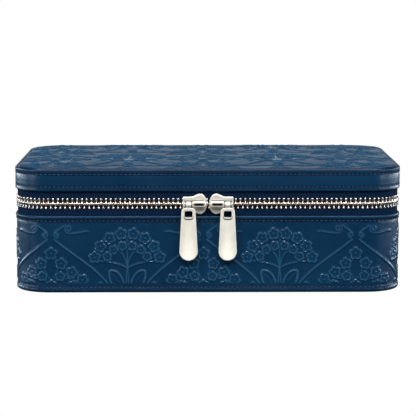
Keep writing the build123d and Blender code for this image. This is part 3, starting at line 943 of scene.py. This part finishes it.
def sheet_body(X, Y, Z, back):
    """Closes a sheet: its shaped face, a skirt round the outline, and a flat back at a height."""
    rows, columns = X.shape
    face = np.stack([X, Y, Z], -1).reshape(-1, 3)
    ring = np.concatenate([
        np.arange(columns), np.arange(1, rows) * columns + columns - 1,
        (rows - 1) * columns + np.arange(columns - 2, -1, -1), np.arange(rows - 2, 0, -1) * columns])
    under = face[ring].copy()
    under[:, 2] = back
    low = len(face) + np.arange(len(ring))
    skirt = np.stack([ring, low, np.roll(low, -1), np.roll(ring, -1)], 1)
    faces = grid_quads(rows, columns)[:, ::-1].tolist() + skirt.tolist() + [low[::-1].tolist()]
    return np.concatenate([face, under]), faces


def rolled_edge(inwards, radius):
    """0 at the outline, rising round a quarter circle of this radius to 1 inside it."""
    return np.sqrt(np.clip(1 - (1 - np.clip(inwards / radius, 0, 1)) ** 2, 0, 1))


print("rows in a small sheet", len(sheet_rows(HALF_Y, CORNER, 4, 5)))

# %% [markdown]
# ### The lid's panel
# The panel is a padded sheet, tucked into the seam all round. The height rises steeply out of
# the seam, then crowns slowly to the middle, with the pattern on top.

# %% Lid panel
PANEL_INSET = 1.50 * MM
LID_RELIEF = 0.42 * MM
TUCKED, TUCK_RISE, CROWN = 0.85 * MM, 1.20 * MM, 0.85 * MM
X, Y, inwards = sheet_grid(
    HALF_X - PANEL_INSET, HALF_Y - PANEL_INSET, CORNER - PANEL_INSET, 46, 82, 336, 18)
relief = pattern(X / MM + PATTERN_SHIFT, Y / MM + 33.0) * fade(inwards, 0.6 * MM, 2.0 * MM)
Z = (LID_EDGE - TUCKED + TUCK_RISE * rolled_edge(inwards, 1.0 * MM) + CROWN * fade(inwards, 0, 34 * MM)
     + waviness(X, Y) + LID_RELIEF * relief)
points, faces = sheet_body(X, Y, Z, LID_EDGE - LEATHER + 0.02 * MM)
lid_panel = finish_piece(
    "lid_panel", points, faces, "lid", "embossed_leather", embossed_leather, ["lid_top_leather"])
hidden = len(points) - X.size
set_attribute(lid_panel, "relief", np.append(relief, np.zeros(hidden)))
# Painted shade at the panel's edge, where it tucks into the seam groove.
set_attribute(lid_panel, "seam", np.append(1 - fade(inwards, 0.3 * MM, 1.2 * MM), np.ones(hidden)))
print("lid panel", X.shape, count_triangles(lid_panel), "triangles")

# %% [markdown]
# ### The underside
# A plain sheet of leather closes the bottom. Its edges curl up a little, so that it meets the
# turned-in edge of the sides in a fine groove, and the case stands on its flat middle.

# %% Plain sheets
def plain_sheet(name, plan, face_z, back_z, edge, lift, body, slot, material, node, wave=0.0):
    """A smooth sheet whose edge rolls back from its face by an amount called lift."""
    X, Y, inwards = sheet_grid(*plan, 24, 30, 110)
    away = math.copysign(1.0, back_z - face_z)
    rise = lift * (1 - rolled_edge(inwards, edge)) + wave * np.abs(waviness(0.7 * X, Y) / MM)
    points, faces = sheet_body(X, Y, face_z + away * rise, back_z)
    return finish_piece(name, points, faces, body, slot, material, [node])


UNDER_INSET = 1.45 * MM
base_bottom = plain_sheet(
    "base_bottom", (HALF_X - UNDER_INSET, HALF_Y - UNDER_INSET, CORNER - UNDER_INSET),
    0.0, 1.15 * MM, 1.2 * MM, 0.55 * MM, "base", "plain_leather", plain_leather, "base_bottom_leather")
print("underside", count_triangles(base_bottom), "triangles")

# %% [markdown]
# ## Stitches
# Each stitch is a short capsule of thread lying in its trough, with both ends pulled down into
# the leather, and a slight slant. All the capsules of a row are made at once: the path gives the
# middle of every ring of every stitch, and a small circle round it gives the thread.

# %% Stitch rows
THREAD, STITCH_REACH = 0.33 * MM, 0.93 * MM


def stitch_row(height, inset, start, stop):
    """Capsules at the stitch pitch along a row: ring middles on the path, six corners each.

    A corner lies at middle + r (cos a . outward + sin a . up), and the inset grows with the
    square of the distance from the stitch's own middle, which sinks its two ends.
    """
    count = int(round((stop - start) / STITCH))
    middles = start + (np.arange(count) + 0.5) * (stop - start) / count
    along = np.array([-STITCH_REACH, -0.70 * MM, 0.0, 0.70 * MM, STITCH_REACH])
    thick = np.array([0.35, 0.95, 1.0, 0.95, 0.35]) * THREAD
    s = middles[:, None] + along[None, :]
    place, normal = around(s)
    sunk = inset + 0.22 * MM * (along / STITCH_REACH) ** 2
    angle = np.radians(np.arange(6) * 60.0)
    flat = place - sunk[None, :, None] * normal
    out = (thick[:, None] * np.cos(angle))[None, :, :, None] * normal[:, :, None, :]
    ring = flat[:, :, None, :] + out
    slant = 0.10 * MM * along / STITCH_REACH
    up = (thick[:, None] * np.sin(angle))[None]
    high = height + slant[None, :, None] + np.broadcast_to(up, out.shape[:3])
    return lofts(np.concatenate([ring, high[..., None]], -1))


base_stitches = finish_piece(
    "base_stitches", *together(*[stitch_row(row, 0.38 * MM, 0, AROUND) for row in BASE_ROWS]),
    "base", "zip_tape", thread)
lid_stitches = finish_piece(
    "lid_stitches", *together(*[stitch_row(row, 0.20 * MM, 0, AROUND) for row in LID_ROWS]),
    "lid", "zip_tape", thread)
print("stitches", count_triangles(base_stitches) + count_triangles(lid_stitches), "triangles")

# %% [markdown]
# ## The zip's tapes and teeth
# The chain runs from one side of the hinge, round the front, to the other side. The tape is a
# thin strip with a cord along its edge, which the teeth grip.

# %% Tapes
CHAIN_END = AROUND / 2 - HINGE_HALF
CHAIN_INSET, CORD_R = 1.5 * MM, 0.52 * MM
TAPE_FRONT, TAPE_REAR = 1.22 * MM, 1.78 * MM


def tape_piece(name, tucked, edge, node, body):
    """A strip from its tucked height to its edge, thickened there into a round cord."""
    up = math.copysign(1.0, edge - tucked)
    strip_end = edge - up * 0.9 * MM
    cord = np.radians(np.linspace(-150, 150, 9))
    bead = np.stack([
        CHAIN_INSET + CORD_R * np.sin(cord), edge + up * (CORD_R * np.cos(cord) - 0.35 * MM)], 1)
    profile = np.concatenate([
        straight(TAPE_FRONT, tucked, strip_end, 12), bead, straight(TAPE_REAR, strip_end, tucked, 4)])
    S, INSET, Z = carried(np.linspace(-CHAIN_END, CHAIN_END, 430), profile)
    points, faces = loft(wrapped(S, INSET, Z))
    return finish_piece(
        name, points, faces, body, "zip_tape", zip_tape_cloth, [node], np.stack([S, Z], -1))


low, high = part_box("zip_tape_lower")
tape_lower = tape_piece("tape_lower", low[2], high[2], "zip_tape_lower", "base")
low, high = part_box("zip_tape_upper")
tape_upper = tape_piece("tape_upper", high[2], low[2], "zip_tape_upper", "lid")
print("tapes", count_triangles(tape_lower) + count_triangles(tape_upper), "triangles")

# %% [markdown]
# A tooth is a stack of rounded sections: a broad tip that meshes with its neighbours, a narrow
# waist, and a round head where it is clamped on the tape. The upper row stands half a pitch
# along from the lower one, so their tips fill each other's gaps and make one bright line.

# %% Teeth and stops
TOOTH_PITCH = 2.7 * MM


def clamps(middles, heights, halves, thick, up):
    """Stacks of rounded sections at distances along the chain.

    heights run from the middle of the zip outwards, halves are half widths along the chain and
    thick are half thicknesses through the tape. Each section is an eight-sided rounded box.
    """
    angle = np.radians(np.arange(8) * 45 + 22.5)
    across = np.sign(np.cos(angle)) * np.abs(np.cos(angle)) ** 0.45
    through = np.sign(np.sin(angle)) * np.abs(np.sin(angle)) ** 0.45
    s = middles[:, None, None] + halves[None, :, None] * across
    inset = np.broadcast_to(CHAIN_INSET - thick[None, :, None] * through, s.shape)
    z = np.broadcast_to((ZIP_Z + up * heights)[None, :, None], s.shape)
    return lofts(wrapped(s, inset, z))


tooth_up = np.array([-0.46, -0.32, 0.36, 0.56, 1.40, 2.00, 2.50, 2.95, 3.18]) * MM
tooth_half = np.array([0.62, 0.73, 0.73, 0.38, 0.31, 0.38, 0.62, 0.56, 0.24]) * MM
tooth_deep = np.array([1.00, 1.20, 1.20, 0.92, 0.80, 0.92, 1.22, 1.12, 0.60]) * MM
stop_up = np.array([0.38, 0.55, 1.7, 2.9, 3.1]) * MM
stop_half = np.array([1.2, 1.52, 1.58, 1.52, 1.2]) * MM
stop_deep = np.array([0.85, 1.12, 1.2, 1.12, 0.85]) * MM
stop_places = np.array([-1, 1]) * (CHAIN_END - 1.6 * MM)
last_tooth = CHAIN_END - 6.4 * MM
count = int(2 * last_tooth / TOOTH_PITCH)
middles = (np.arange(count) - (count - 1) / 2) * TOOTH_PITCH
for row, body, up, shift in (("lower", "base", -1, -0.25), ("upper", "lid", 1, 0.25)):
    points, faces = clamps(middles + shift * TOOTH_PITCH, tooth_up, tooth_half, tooth_deep, up)
    finish_piece("teeth_" + row, points, faces, body, "zip_metal", zip_metal, ["zip_teeth_" + row])
    points, faces = clamps(stop_places, stop_up, stop_half, stop_deep, up)
    finish_piece("stops_" + row, points, faces, body, "zip_metal", zip_metal, ["zip_stops_" + row])
print("teeth in a row", count, "faces in a tooth", 8 * 8 + 2)

# %% [markdown]
# ## Sliders
# A slider is two plates joined by a wedge at its nose, with lips that close in over the teeth.
# Its outline is a half ellipse at the nose, hollow shoulders and a straight tail. The cap on the
# front plate carries the pull's pin. The right-hand one is worked out, and its mirror image
# makes the left-hand one.

# %% Slider outline
TIP = 0.6 * MM
CHAIN_Y = -(HALF_Y - CHAIN_INSET)
CHANNEL, PLATE = 1.35 * MM, 1.0 * MM
FACE_Y = CHAIN_Y - CHANNEL - PLATE
NOSE_LENGTH, SHOULDER_LENGTH = 3.9 * MM, 5.1 * MM
NOSE_HALF, TAIL_HALF = 5.8 * MM, 4.1 * MM


def moved_in(outline, shrink):
    """A closed outline moved inwards along its own normals."""
    ahead = np.roll(outline, -1, 0) - np.roll(outline, 1, 0)
    ahead /= np.linalg.norm(ahead, axis=1)[:, None]
    return outline + shrink * np.stack([ahead[:, 1], -ahead[:, 0]], 1)


def shoulder(k):
    """Half height from the nose's widest place (k = 0) to the tail (k = 1), an S curve."""
    return NOSE_HALF - (NOSE_HALF - TAIL_HALF) * k * k * (3 - 2 * k)


def slider_outline(shrink):
    """(x, z) round the plate, moved in along its own normals by shrink."""
    t = np.linspace(0, math.pi / 2, 16)
    k = np.linspace(0, 1, 12)[1:]
    half = np.concatenate([
        np.stack([NOSE_LENGTH * (1 - np.cos(t)), NOSE_HALF * np.sin(t)], 1),
        np.stack([NOSE_LENGTH + SHOULDER_LENGTH * k, shoulder(k)], 1),
        np.array([[11.0, 4.1], [13.0, 4.1], [13.42, 3.98], [13.6, 3.6], [13.6, 1.8]]) * MM])
    whole = np.concatenate([half, [[13.6 * MM, 0.0]], half[:0:-1] * (1, -1)])
    return moved_in(whole, shrink) + (TIP, 0)


print("points round the slider", len(slider_outline(0.0)))


# %% Slider plates and lips
def upright(outline, y):
    """Puts an (x, z) outline, measured from the zip's middle height, at a depth y."""
    return np.stack([outline[:, 0], np.broadcast_to(y, outline[:, 0].shape), outline[:, 1] + ZIP_Z], 1)


def slider_plate(back, face):
    """One plate: straight flanks, a rounded edge, and a slightly domed face."""
    toward = face - back
    steps = ((0.0, 0.0), (0.0, 0.5), (0.10, 0.78), (0.32, 0.95), (0.9, 1.0))
    return loft([upright(slider_outline(shrink * MM), back + share * toward) for shrink, share in steps])


def slider_lip(up, near, far):
    """A strip under a plate's edge, following the outline above or below the teeth."""
    u = np.linspace(1.5, 13.4, 24) * MM
    nose = NOSE_HALF * np.sqrt(np.clip(1 - ((NOSE_LENGTH - u) / NOSE_LENGTH) ** 2, 0, 1))
    behind_nose = shoulder(np.clip((u - NOSE_LENGTH) / SHOULDER_LENGTH, 0, 1))
    reach = np.where(u < NOSE_LENGTH, nose, behind_nose) - 0.12 * MM
    inner = np.full_like(u, 3.32 * MM)
    corners = [(inner, near), (reach, near), (reach, far), (inner, far)]
    return loft(np.stack([
        np.stack([TIP + u, np.full_like(u, y), ZIP_Z + up * v], 1) for v, y in corners], 1))


def rounded_outline(half_x, half_z, radius, middle=(0.0, 0.0), flat_points=4, arc=5):
    """(x, z) round a rounded rectangle, with the same number of points for any size."""
    radius = min(radius, half_x * 0.999, half_z * 0.999)
    arcs = []
    for quarter, sign in enumerate(((1, 1), (-1, 1), (-1, -1), (1, -1))):
        a = np.radians(90 * quarter + np.linspace(0, 90, arc))
        centre = np.array([half_x - radius, half_z - radius]) * sign
        arcs.append(centre + radius * np.stack([np.cos(a), np.sin(a)], 1))
    share = np.linspace(0, 1, flat_points + 1, endpoint=False)[1:, None]
    rounded = []
    for here, there in zip(arcs, arcs[1:] + arcs[:1]):
        rounded += [here, here[-1] * (1 - share) + there[0] * share]
    return np.concatenate(rounded) + middle


print("points round a rounded rectangle", len(rounded_outline(2, 1, 0.5)))

# %% [markdown]
# The cap has a narrow slot in its face and a small lug behind the pull, and the pin runs from one
# to the other through the pull's knuckle.

# %% Parts of a slider
CAP_FACE = FACE_Y - 2.6 * MM
PIN_Y = FACE_Y - 1.76 * MM
PULL_X = TIP + 10.4 * MM


def pin_ring(x, radius, sides):
    """A circle round the pin's axis, at a place along it."""
    angle = np.arange(sides) * 2 * math.pi / sides
    return np.stack([
        np.full(sides, x), PIN_Y + radius * np.cos(angle), ZIP_Z + radius * np.sin(angle)], 1)


def cap_block(start, end, half_z, slot=False):
    """A block on the slider's face with rounded edges, and a slot sunk in it if asked."""
    middle, half = ((start + end) / 2, 0.0), (end - start) / 2
    steps = [(0.38 * MM, FACE_Y + 0.1 * MM), (0.34 * MM, FACE_Y - 0.55 * MM), (0.0, FACE_Y - 0.85 * MM),
             (0.0, CAP_FACE + 0.75 * MM), (0.12 * MM, CAP_FACE + 0.32 * MM),
             (0.34 * MM, CAP_FACE + 0.09 * MM), (0.62 * MM, CAP_FACE)]
    rings = [upright(rounded_outline(half - i, half_z - i, 0.85 * MM, middle), y) for i, y in steps]
    if slot:
        mouth = rounded_outline(2.6 * MM, 0.50 * MM, 0.45 * MM, middle)
        rings += [upright(mouth, CAP_FACE + 0.02 * MM), upright(mouth, CAP_FACE + 1.9 * MM)]
    return loft(rings)


def rod(start, end, radius):
    """A round rod along X on the pin's axis, with softened ends."""
    steps = ((start, 0.85), (start + 0.1 * MM, 1.0), (end - 0.1 * MM, 1.0), (end, 0.85))
    return loft([pin_ring(x, share * radius, 16) for x, share in steps])


print("pin axis", round(PIN_Y, 5), "pull's place", round(PULL_X, 5))

# %% Whole sliders
KNUCKLE, PLAY = 1.7 * MM, 0.15 * MM
lips = [slider_lip(up, CHAIN_Y + near * MM, CHAIN_Y + far * MM)
        for up in (-1, 1) for near, far in ((-1.40, -0.56), (0.56, 1.40))]
post = rounded_outline(1.8 * MM, 0.20 * MM, 0.18 * MM, (TIP + 2.4 * MM, 0))
slider_parts = together(
    slider_plate(CHAIN_Y - CHANNEL, FACE_Y), slider_plate(CHAIN_Y + CHANNEL, CHAIN_Y + CHANNEL + PLATE),
    *lips, loft([upright(post, CHAIN_Y - 1.4 * MM), upright(post, CHAIN_Y + 1.4 * MM)]))
groove = loft([
    upright(rounded_outline(half * MM, tall * MM, 1.2 * MM, (TIP + 6.9 * MM, 0)), FACE_Y + d * MM)
    for half, tall, d in ((6.2, 2.1, 0.1), (6.2, 2.1, -0.04), (6.0, 1.9, -0.06))])
cap_parts = together(
    cap_block(TIP + 0.5 * MM, PULL_X - KNUCKLE - PLAY, 1.7 * MM, True),
    cap_block(PULL_X + KNUCKLE + PLAY, PULL_X + KNUCKLE + 1.25 * MM, 1.2 * MM),
    rod(PULL_X - KNUCKLE - 0.6 * MM, PULL_X + KNUCKLE + 0.7 * MM, 0.75 * MM), groove)


def both_sides(name, parts, body, material, node, painted_shade=None):
    """Makes the right-hand piece and its mirror image on the left; painted_shade is 1 where shade is
    painted on.
    """
    points, faces = parts
    for side, way in (("right", 1), ("left", -1)):
        piece = finish_piece(
            f"{name}_{side}", points * (way, 1, 1), faces, f"{body}_{side}", "slider_metal", material,
            [f"{node}_{side}"], crease=40)
        set_attribute(piece, "painted_shade", np.zeros(len(points)) if painted_shade is None else painted_shade)


both_sides("slider_shell", slider_parts, "slider", slider_metal, "slider_body")
# Painted shade on the cap: full in the slot, strong round the cap's foot and the groove on the plate,
# and on the pin.
x, y, z = cap_parts[0].T
in_slot = ((np.abs(x - TIP - 4.5 * MM) < 2.7 * MM) & (np.abs(z - ZIP_Z) < 0.51 * MM)
           & (y > CAP_FACE + 0.01 * MM))
at_foot = y > FACE_Y - 0.6 * MM
on_pin = (np.abs(x - PULL_X) < KNUCKLE + 0.75 * MM) & (np.hypot(y - PIN_Y, z - ZIP_Z) < 0.76 * MM)
both_sides("slider_bridge", cap_parts, "slider", slider_metal, "slider_cap",
           np.select([in_slot, at_foot, on_pin], [1.0, 0.80, 0.70]))
print("slider faces", len(slider_parts[1]), "cap faces", len(cap_parts[1]))

# %% [markdown]
# ## Pulls
# Each pull is a long tab, wider at its round end. A polished rim stands a little proud of a satin
# field, and the window near its head has a bevelled sill. The outline is walked from the middle
# of its head; the window's points lie on the same rays from the window's centre, so the face
# between them is one clean band of quads.

# %% Pull shape
PULL_THICK = 1.3 * MM
WINDOW_Z = -5.55 * MM


def pull_outline(shrink):
    """(x, z) round the tab: rounded head corners, straight tapering sides, a half-circle end.

    Its numbers are in mm and count from the pin: x across the tab, z up it.
    """
    head, top, end, reach, corner = 3.95, -2.1, 5.15, -31.9, 1.8
    a = np.radians(np.linspace(90, 0, 8))
    head_arc = np.stack([head - corner + corner * np.cos(a), top - corner + corner * np.sin(a)], 1)
    k = np.linspace(0, 1, 26)[1:-1, None]
    side = np.array([[head + 0.03, top - corner]]) * (1 - k) + np.array([[end, reach + end]]) * k
    b = np.radians(np.linspace(0, -90, 16))
    foot = np.stack([end * np.cos(b), reach + end + end * np.sin(b)], 1)
    right = np.concatenate([[[0.0, top], [1.0, top]], head_arc, side, foot])
    return moved_in(np.concatenate([right, right[-2:0:-1] * (-1, 1)]) * MM, shrink)


def window_outline(half_x, half_z, outline, power=8):
    """Points on the rays to an outline, on a rounded box |x/a|^power + |z/b|^power = 1."""
    ray = outline - (0.0, WINDOW_Z)
    scale = (np.abs(ray[:, 0] / half_x) ** power + np.abs(ray[:, 1] / half_z) ** power) ** (-1 / power)
    return ray * scale[:, None] + (0.0, WINDOW_Z)


def pull_ring(outline, depth):
    """An outline measured from the pin, upright, at a depth in mm behind the pull's front face."""
    y = PIN_Y - PULL_THICK / 2 + depth * MM
    return np.stack([PULL_X + outline[:, 0], np.full(len(outline), y), ZIP_Z + outline[:, 1]], 1)


print("points round a pull", len(pull_outline(0.0)))

# %% [markdown]
# ### One pull from its rings
# The rings run over the rim's rounded edge and down to the field, then over the window's sill,
# through the window, and back across the rear face. Painted shade darkens the sill's groove and
# the window's back edge. A neck joins the tab to its knuckle, a short tube on the pin.

# %% Tab, knuckle and neck
# Each step is in mm: how far in from the outline, and how deep behind the front face.
RIM_STEPS = ((0.0, 1.00), (0.0, 0.30), (0.10, 0.09), (0.30, 0.0), (0.75, 0.0), (0.95, 0.11))
REAR_STEPS = ((0.30, 1.30), (0.10, 1.20))
# Half width, drop below the window and depth; then half width, half height and depth.
SILL_STEPS = ((2.75, 1.10, 0.11), (2.72, 1.00, 0.40), (2.62, 0.58, 0.40), (2.48, 0.42, 0.13))
WINDOW_STEPS = ((2.25, 1.85, 0.20), (2.25, 1.85, 1.20), (2.35, 1.95, 1.30))
# Along the pin and radius; then height, half width and half depth.
TUBE = ((-1.32, 0.81), (-1.32, 1.36), (-1.10, 1.54), (1.10, 1.54), (1.32, 1.36), (1.32, 0.81))
NECK = ((-1.20, 1.42, 0.62), (-1.8, 1.46, 0.60), (-2.4, 1.70, 0.58), (-3.1, 1.70, 0.5))
rim = pull_outline(0.0)
low = rim[:, 1] < WINDOW_Z - 1.5 * MM
rim_rings, rear_rings = (
    [pull_ring(pull_outline(shrink * MM), depth) for shrink, depth in steps]
    for steps in (RIM_STEPS, REAR_STEPS))
sill_rings = [
    pull_ring(window_outline(half * MM, (half - 0.55 + drop * low) * MM, rim, 4), depth)
    for half, drop, depth in SILL_STEPS]
window_rings = [
    pull_ring(window_outline(half * MM, tall * MM, rim), depth) for half, tall, depth in WINDOW_STEPS]
tab = loft(rim_rings + sill_rings + window_rings + rear_rings, closed=True)
knuckle = loft([pin_ring(PULL_X + x * MM, r * MM, 24) for x, r in TUBE], closed=True)
corner = rounded_outline(1.0, 1.0, 0.3) * MM
neck = loft([
    np.stack([PULL_X + corner[:, 0] * wide, PIN_Y + corner[:, 1] * deep,
              np.full(len(corner), ZIP_Z + z * MM)], 1) for z, wide, deep in NECK])
first_sill, last_window = len(RIM_STEPS), len(RIM_STEPS + SILL_STEPS + WINDOW_STEPS) - 1
# Painted shade on the lower part of the sill's groove and all round the window's back edge.
painted_shade = np.zeros((len(tab[0]) // len(rim), len(rim)))
painted_shade[first_sill + 1:first_sill + 3] = low
painted_shade[last_window] = 0.9
both_sides("pull_tab", together(tab, knuckle, neck), "pull", pull_metal, "pull",
           np.append(painted_shade, np.zeros(len(knuckle[0]) + len(neck[0]))))
print("pull faces", len(tab[1]) + len(knuckle[1]) + len(neck[1]))

# %% [markdown]
# ## The hinge
# A strip of leather and its cloth backing cross from the base to the lid behind the zip.


def hinge_piece(name, profile, slot, material, node):
    """A strip across the back: a closed profile carried along the straight, left without a body and with
    its transform baked in.
    """
    S, INSET, Z = carried(np.linspace(CHAIN_END, AROUND - CHAIN_END, 120), profile)
    points, faces = loft(wrapped(S, INSET, Z))
    piece = finish_piece(name, points, faces, None, slot, material, [node], np.stack([S, Z], -1))
    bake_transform(piece)
    return piece


z = np.linspace(BASE_RIM, LID_RIM, 33)
turn = (z - ZIP_Z) / (LID_RIM - BASE_RIM) * math.pi
creases = 0.10 * MM * np.cos(10 * turn) * np.cos(turn) ** 2
outer = np.stack([0.05 * MM + 0.22 * MM * np.cos(turn) + creases, z], 1)
hinge_skin = hinge_piece(
    "hinge_skin", np.concatenate([outer, straight(1.18 * MM, LID_RIM, BASE_RIM, 12)]),
    "plain_leather", plain_leather, "hinge_leather")
low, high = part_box("hinge_backing")
outer = straight(TAPE_FRONT, low[2], high[2], 26)
inner = straight(TAPE_REAR, high[2], low[2], 26)
hinge_piece("hinge_cloth", np.concatenate([outer, inner]), "zip_tape", zip_tape_cloth, "hinge_backing")
print("hinge", count_triangles(hinge_skin), "triangles")

# %% [markdown]
# ## Inside
# The lining wraps the collars, which are the upstand inside the base and the matching one in the
# lid. It turns over their edges and goes down behind the zip, so no raw board shows when the
# case is open.

# %% Collar linings
COLLAR_OUT = 4.2 * MM
COLLAR_R = (ROOM_INSET - COLLAR_OUT) / 2


def collar_wrap(name, edge_z, foot_z, body, nodes):
    """A wall of cloth over board with a round edge; its room side is very slightly uneven."""
    up = math.copysign(1.0, edge_z - foot_z)
    turn = np.radians(np.linspace(180, 0, 11))
    bend_z = edge_z - up * COLLAR_R
    edge = np.stack([
        COLLAR_OUT + COLLAR_R + COLLAR_R * np.cos(turn), bend_z + up * COLLAR_R * np.sin(turn)], 1)
    outer = straight(COLLAR_OUT, foot_z, bend_z, 9)[:-1]
    profile = np.concatenate([outer, edge, straight(ROOM_INSET, bend_z, foot_z, 17)[1:]])
    S, INSET, Z = carried(columns_round(1.4 * MM, 0.9 * MM, 1.4 * MM, 1.4 * MM), profile)
    between_ends = fade(np.abs(Z - foot_z), 0, 4 * MM) * fade(np.abs(Z - bend_z), 0, 3 * MM)
    soft = (INSET > ROOM_INSET - 0.01 * MM) * between_ends * (0.06 * MM + waviness(1.3 * S, Z))
    return finish_piece(name, wrapped(S, INSET + soft, Z), grid_quads(*S.shape, True, True), body,
                        "lining", lining_suede, nodes)


base_collar_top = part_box("base_collar")[1][2]
lid_collar_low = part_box("lid_collar")[0][2]
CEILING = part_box("lid_ceiling_lining")[0][2]
collar_wrap("collar_lining_base", base_collar_top, FLOOR - 0.4 * MM, "base",
            ["base_collar", "base_wall_lining"])
collar_wrap("collar_lining_lid", lid_collar_low, CEILING + 0.4 * MM, "lid",
            ["lid_collar", "lid_wall_lining"])
room_plan = (ROOM_X, ROOM_Y, CORNER - ROOM_INSET)
floor_skin = plain_sheet("floor_lining", room_plan, FLOOR, FLOOR - 0.8 * MM, 0.9 * MM, 0.5 * MM, "base",
                         "lining", lining_suede, "base_floor_lining", 0.6 * MM)
plain_sheet("ceiling_lining", room_plan, CEILING, CEILING + 0.8 * MM, 0.9 * MM, 0.5 * MM, "lid",
            "lining", lining_suede, "lid_ceiling_lining")
print("collars", round(base_collar_top, 4), round(lid_collar_low, 4), "ceiling", round(CEILING, 4))

# %% [markdown]
# ### Dividers and ring rolls
# The dividers are boards wrapped in suede, with a rounded top. The rings are held between six
# soft rolls: foam wrapped tightly in velvet, so they are full and round, with only faint dimples
# and drawn-in ends. The first and last are cut to the round corners of the room.

# %% Dividers
def round_topped(half, foot, top, arc, flank):
    """(across, height) round a section with a half-round top, straight flanks and a flat foot."""
    turn = np.radians(np.linspace(0, 180, arc))
    crown = np.stack([half * np.cos(turn), top - half * (1 - np.sin(turn))], 1)
    left = straight(-half, top - half, foot, flank + 1)[1:]
    return np.concatenate([crown, left, left[::-1] * (-1, 1)])


def divider_piece(node):
    """A wall with a round top, lofted along its longer side, with a slight swell between ends."""
    low, high = (np.array(v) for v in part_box(node))
    size, middle = high - low, (low + high) / 2
    long_x = size[0] > size[1]
    section = round_topped(min(size[:2]) / 2, low[2], high[2], 11, 8)
    along = np.linspace(-0.5, 0.5, 60)[:, None] * max(size[:2])
    across = section[:, 0] * (0.97 - 0.03 * np.sin(along * 210 + section[:, 1] * 120))
    run = np.broadcast_to(along, across.shape)
    z = np.broadcast_to(section[:, 1], across.shape)
    x, y = (run, across) if long_x else (across, run)
    points, faces = loft(np.stack([x + middle[0], y + middle[1], z], -1))
    return finish_piece(node + "_wrap", points, faces, "base", "lining", lining_suede, [node])


for node in ("long_divider_left", "long_divider_right", "cross_divider_middle", "cross_divider_right"):
    divider_piece(node)
print("dividers 4")

# %% Ring rolls
ROLLS, ROLL_GAP, DRAWN = 6, 0.6 * MM, 2.2 * MM


def ring_roll(number):
    """A velvet roll along X: a round-topped section, drawn in at both ends by a quarter circle.

    At x the section shrinks towards its middle by 1 - sqrt(1 - (1 - d / r)^2) of an end radius
    r, where d is the distance to the nearer end. Slow dimples make the wrapped foam look soft.
    """
    node = f"ring_roll_{number}"
    low, high = (np.array(v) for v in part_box(node))
    pitch = 2 * ROOM_Y / ROLLS
    middle = -ROOM_Y + (number - 0.5) * pitch
    half = (pitch - ROLL_GAP) / 2
    section = round_topped(half, low[2], high[2], 25, 10)
    ends = DRAWN * (1 - np.cos(np.linspace(0, 1, 7, endpoint=False) * math.pi / 2))
    x = np.concatenate([
        low[0] + ends, np.linspace(low[0] + DRAWN, high[0] - DRAWN, 60), high[0] - ends[::-1]])[:, None]
    near = np.clip(np.minimum(x - low[0], high[0] - x) / DRAWN, 0, 1)
    shrink = 0.8 * DRAWN * (1 - rolled_edge(near, 1.0))
    phase = number * 1.7
    dimple = 0.16 * MM * (np.sin(x * 190 + phase) * np.sin(section[:, 1] * 260 + 9e3 * phase)
                          + np.sin(x * 83 + section[:, 0] * 300 + phase))
    pulled = shrink + np.abs(dimple)
    z = low[2] + (section[:, 1] - low[2]) * (1 - pulled / (high[2] - low[2]))
    y = middle + section[:, 0] * (1 - pulled / half)
    corner_r = CORNER - ROOM_INSET
    past = np.maximum(np.abs(x) - (ROOM_X - corner_r), 0)
    reach = ROOM_Y - corner_r + np.sqrt(np.maximum(corner_r**2 - past**2, 0)) - 0.35 * MM
    y = np.clip(y, -reach, reach)
    points, faces = loft(np.stack([np.broadcast_to(x, y.shape), y, z], -1))
    roll = finish_piece(f"roll_{number}", points, faces, "base", "ring_roll_cloth", roll_velvet, [node])
    return roll


rolls = [ring_roll(number) for number in range(1, ROLLS + 1)]
print("ring rolls", len(rolls), "triangles in one", count_triangles(rolls[0]))

# %% [markdown]
# ### The mirror in the lid
# The glass keeps its CAD shape. Its frame is board wrapped in leather: a band round the glass
# that swells between its outer edge and the lip, with rounded outer corners.

# %% Mirror frame
frame_low, frame_high = (np.array(v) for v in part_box("mirror_frame"))
glass_low, glass_high = (np.array(v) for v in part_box("mirror_glass"))
outer, lip, seat = frame_high[:2], glass_high[:2] - 1.5 * MM, glass_high[:2] + 0.3 * MM
front, glass_z = frame_low[2], glass_low[2] - 0.02 * MM
# Each step: the edge it is measured from, how far outside that, corner radius, and height.
band = (
    (outer, 0.0, 6.0, frame_high[2]), (outer, 0.0, 6.0, front + 0.9 * MM),
    (outer, -0.25, 5.8, front + 0.4 * MM), (outer, -0.9, 5.3, front + 0.1 * MM),
    (outer, -2.6, 4.0, front), (lip, 1.6, 1.6, front + 0.05 * MM),
    (lip, 0.4, 0.8, front + 0.22 * MM), (lip, 0.0, 0.5, front + 0.42 * MM),
    (lip, 0.0, 0.5, glass_z), (seat, 0.0, 0.6, glass_z), (seat, 0.0, 0.6, frame_high[2]))
rings = []
for edge, out, radius, z in band:
    flat = rounded_outline(*(edge + out * MM), radius * MM, flat_points=40, arc=9)
    rings.append(np.column_stack([flat, np.full(len(flat), z)]))
points, faces = loft(rings, closed=True)
mirror_band = finish_piece(
    "mirror_band", points, faces, "lid", "plain_leather", plain_leather, ["mirror_frame"])
print("mirror frame", count_triangles(mirror_band), "triangles")

# %% [markdown]
# ### What stays from the CAD
# Boards, foams and the glass already have their true shape, so they only need a finish.

# %% Finishes for the carried-over parts
kept = {
    "base_floor_board": board_grey, "base_wall_board": board_grey, "lid_wall_board": board_grey,
    "lid_top_board": board_grey, "lid_top_foam": foam_white, "base_floor_pad": foam_white,
    "mirror_glass": mirror_silver}
for node, finish in kept.items():
    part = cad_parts[node]
    for place in part.material_slots:
        place.material = finish
    print(node, "->", finish.name)

# %% Print the visual box
low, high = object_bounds()
print("visual box", np.round(low, 4), np.round(high, 4))
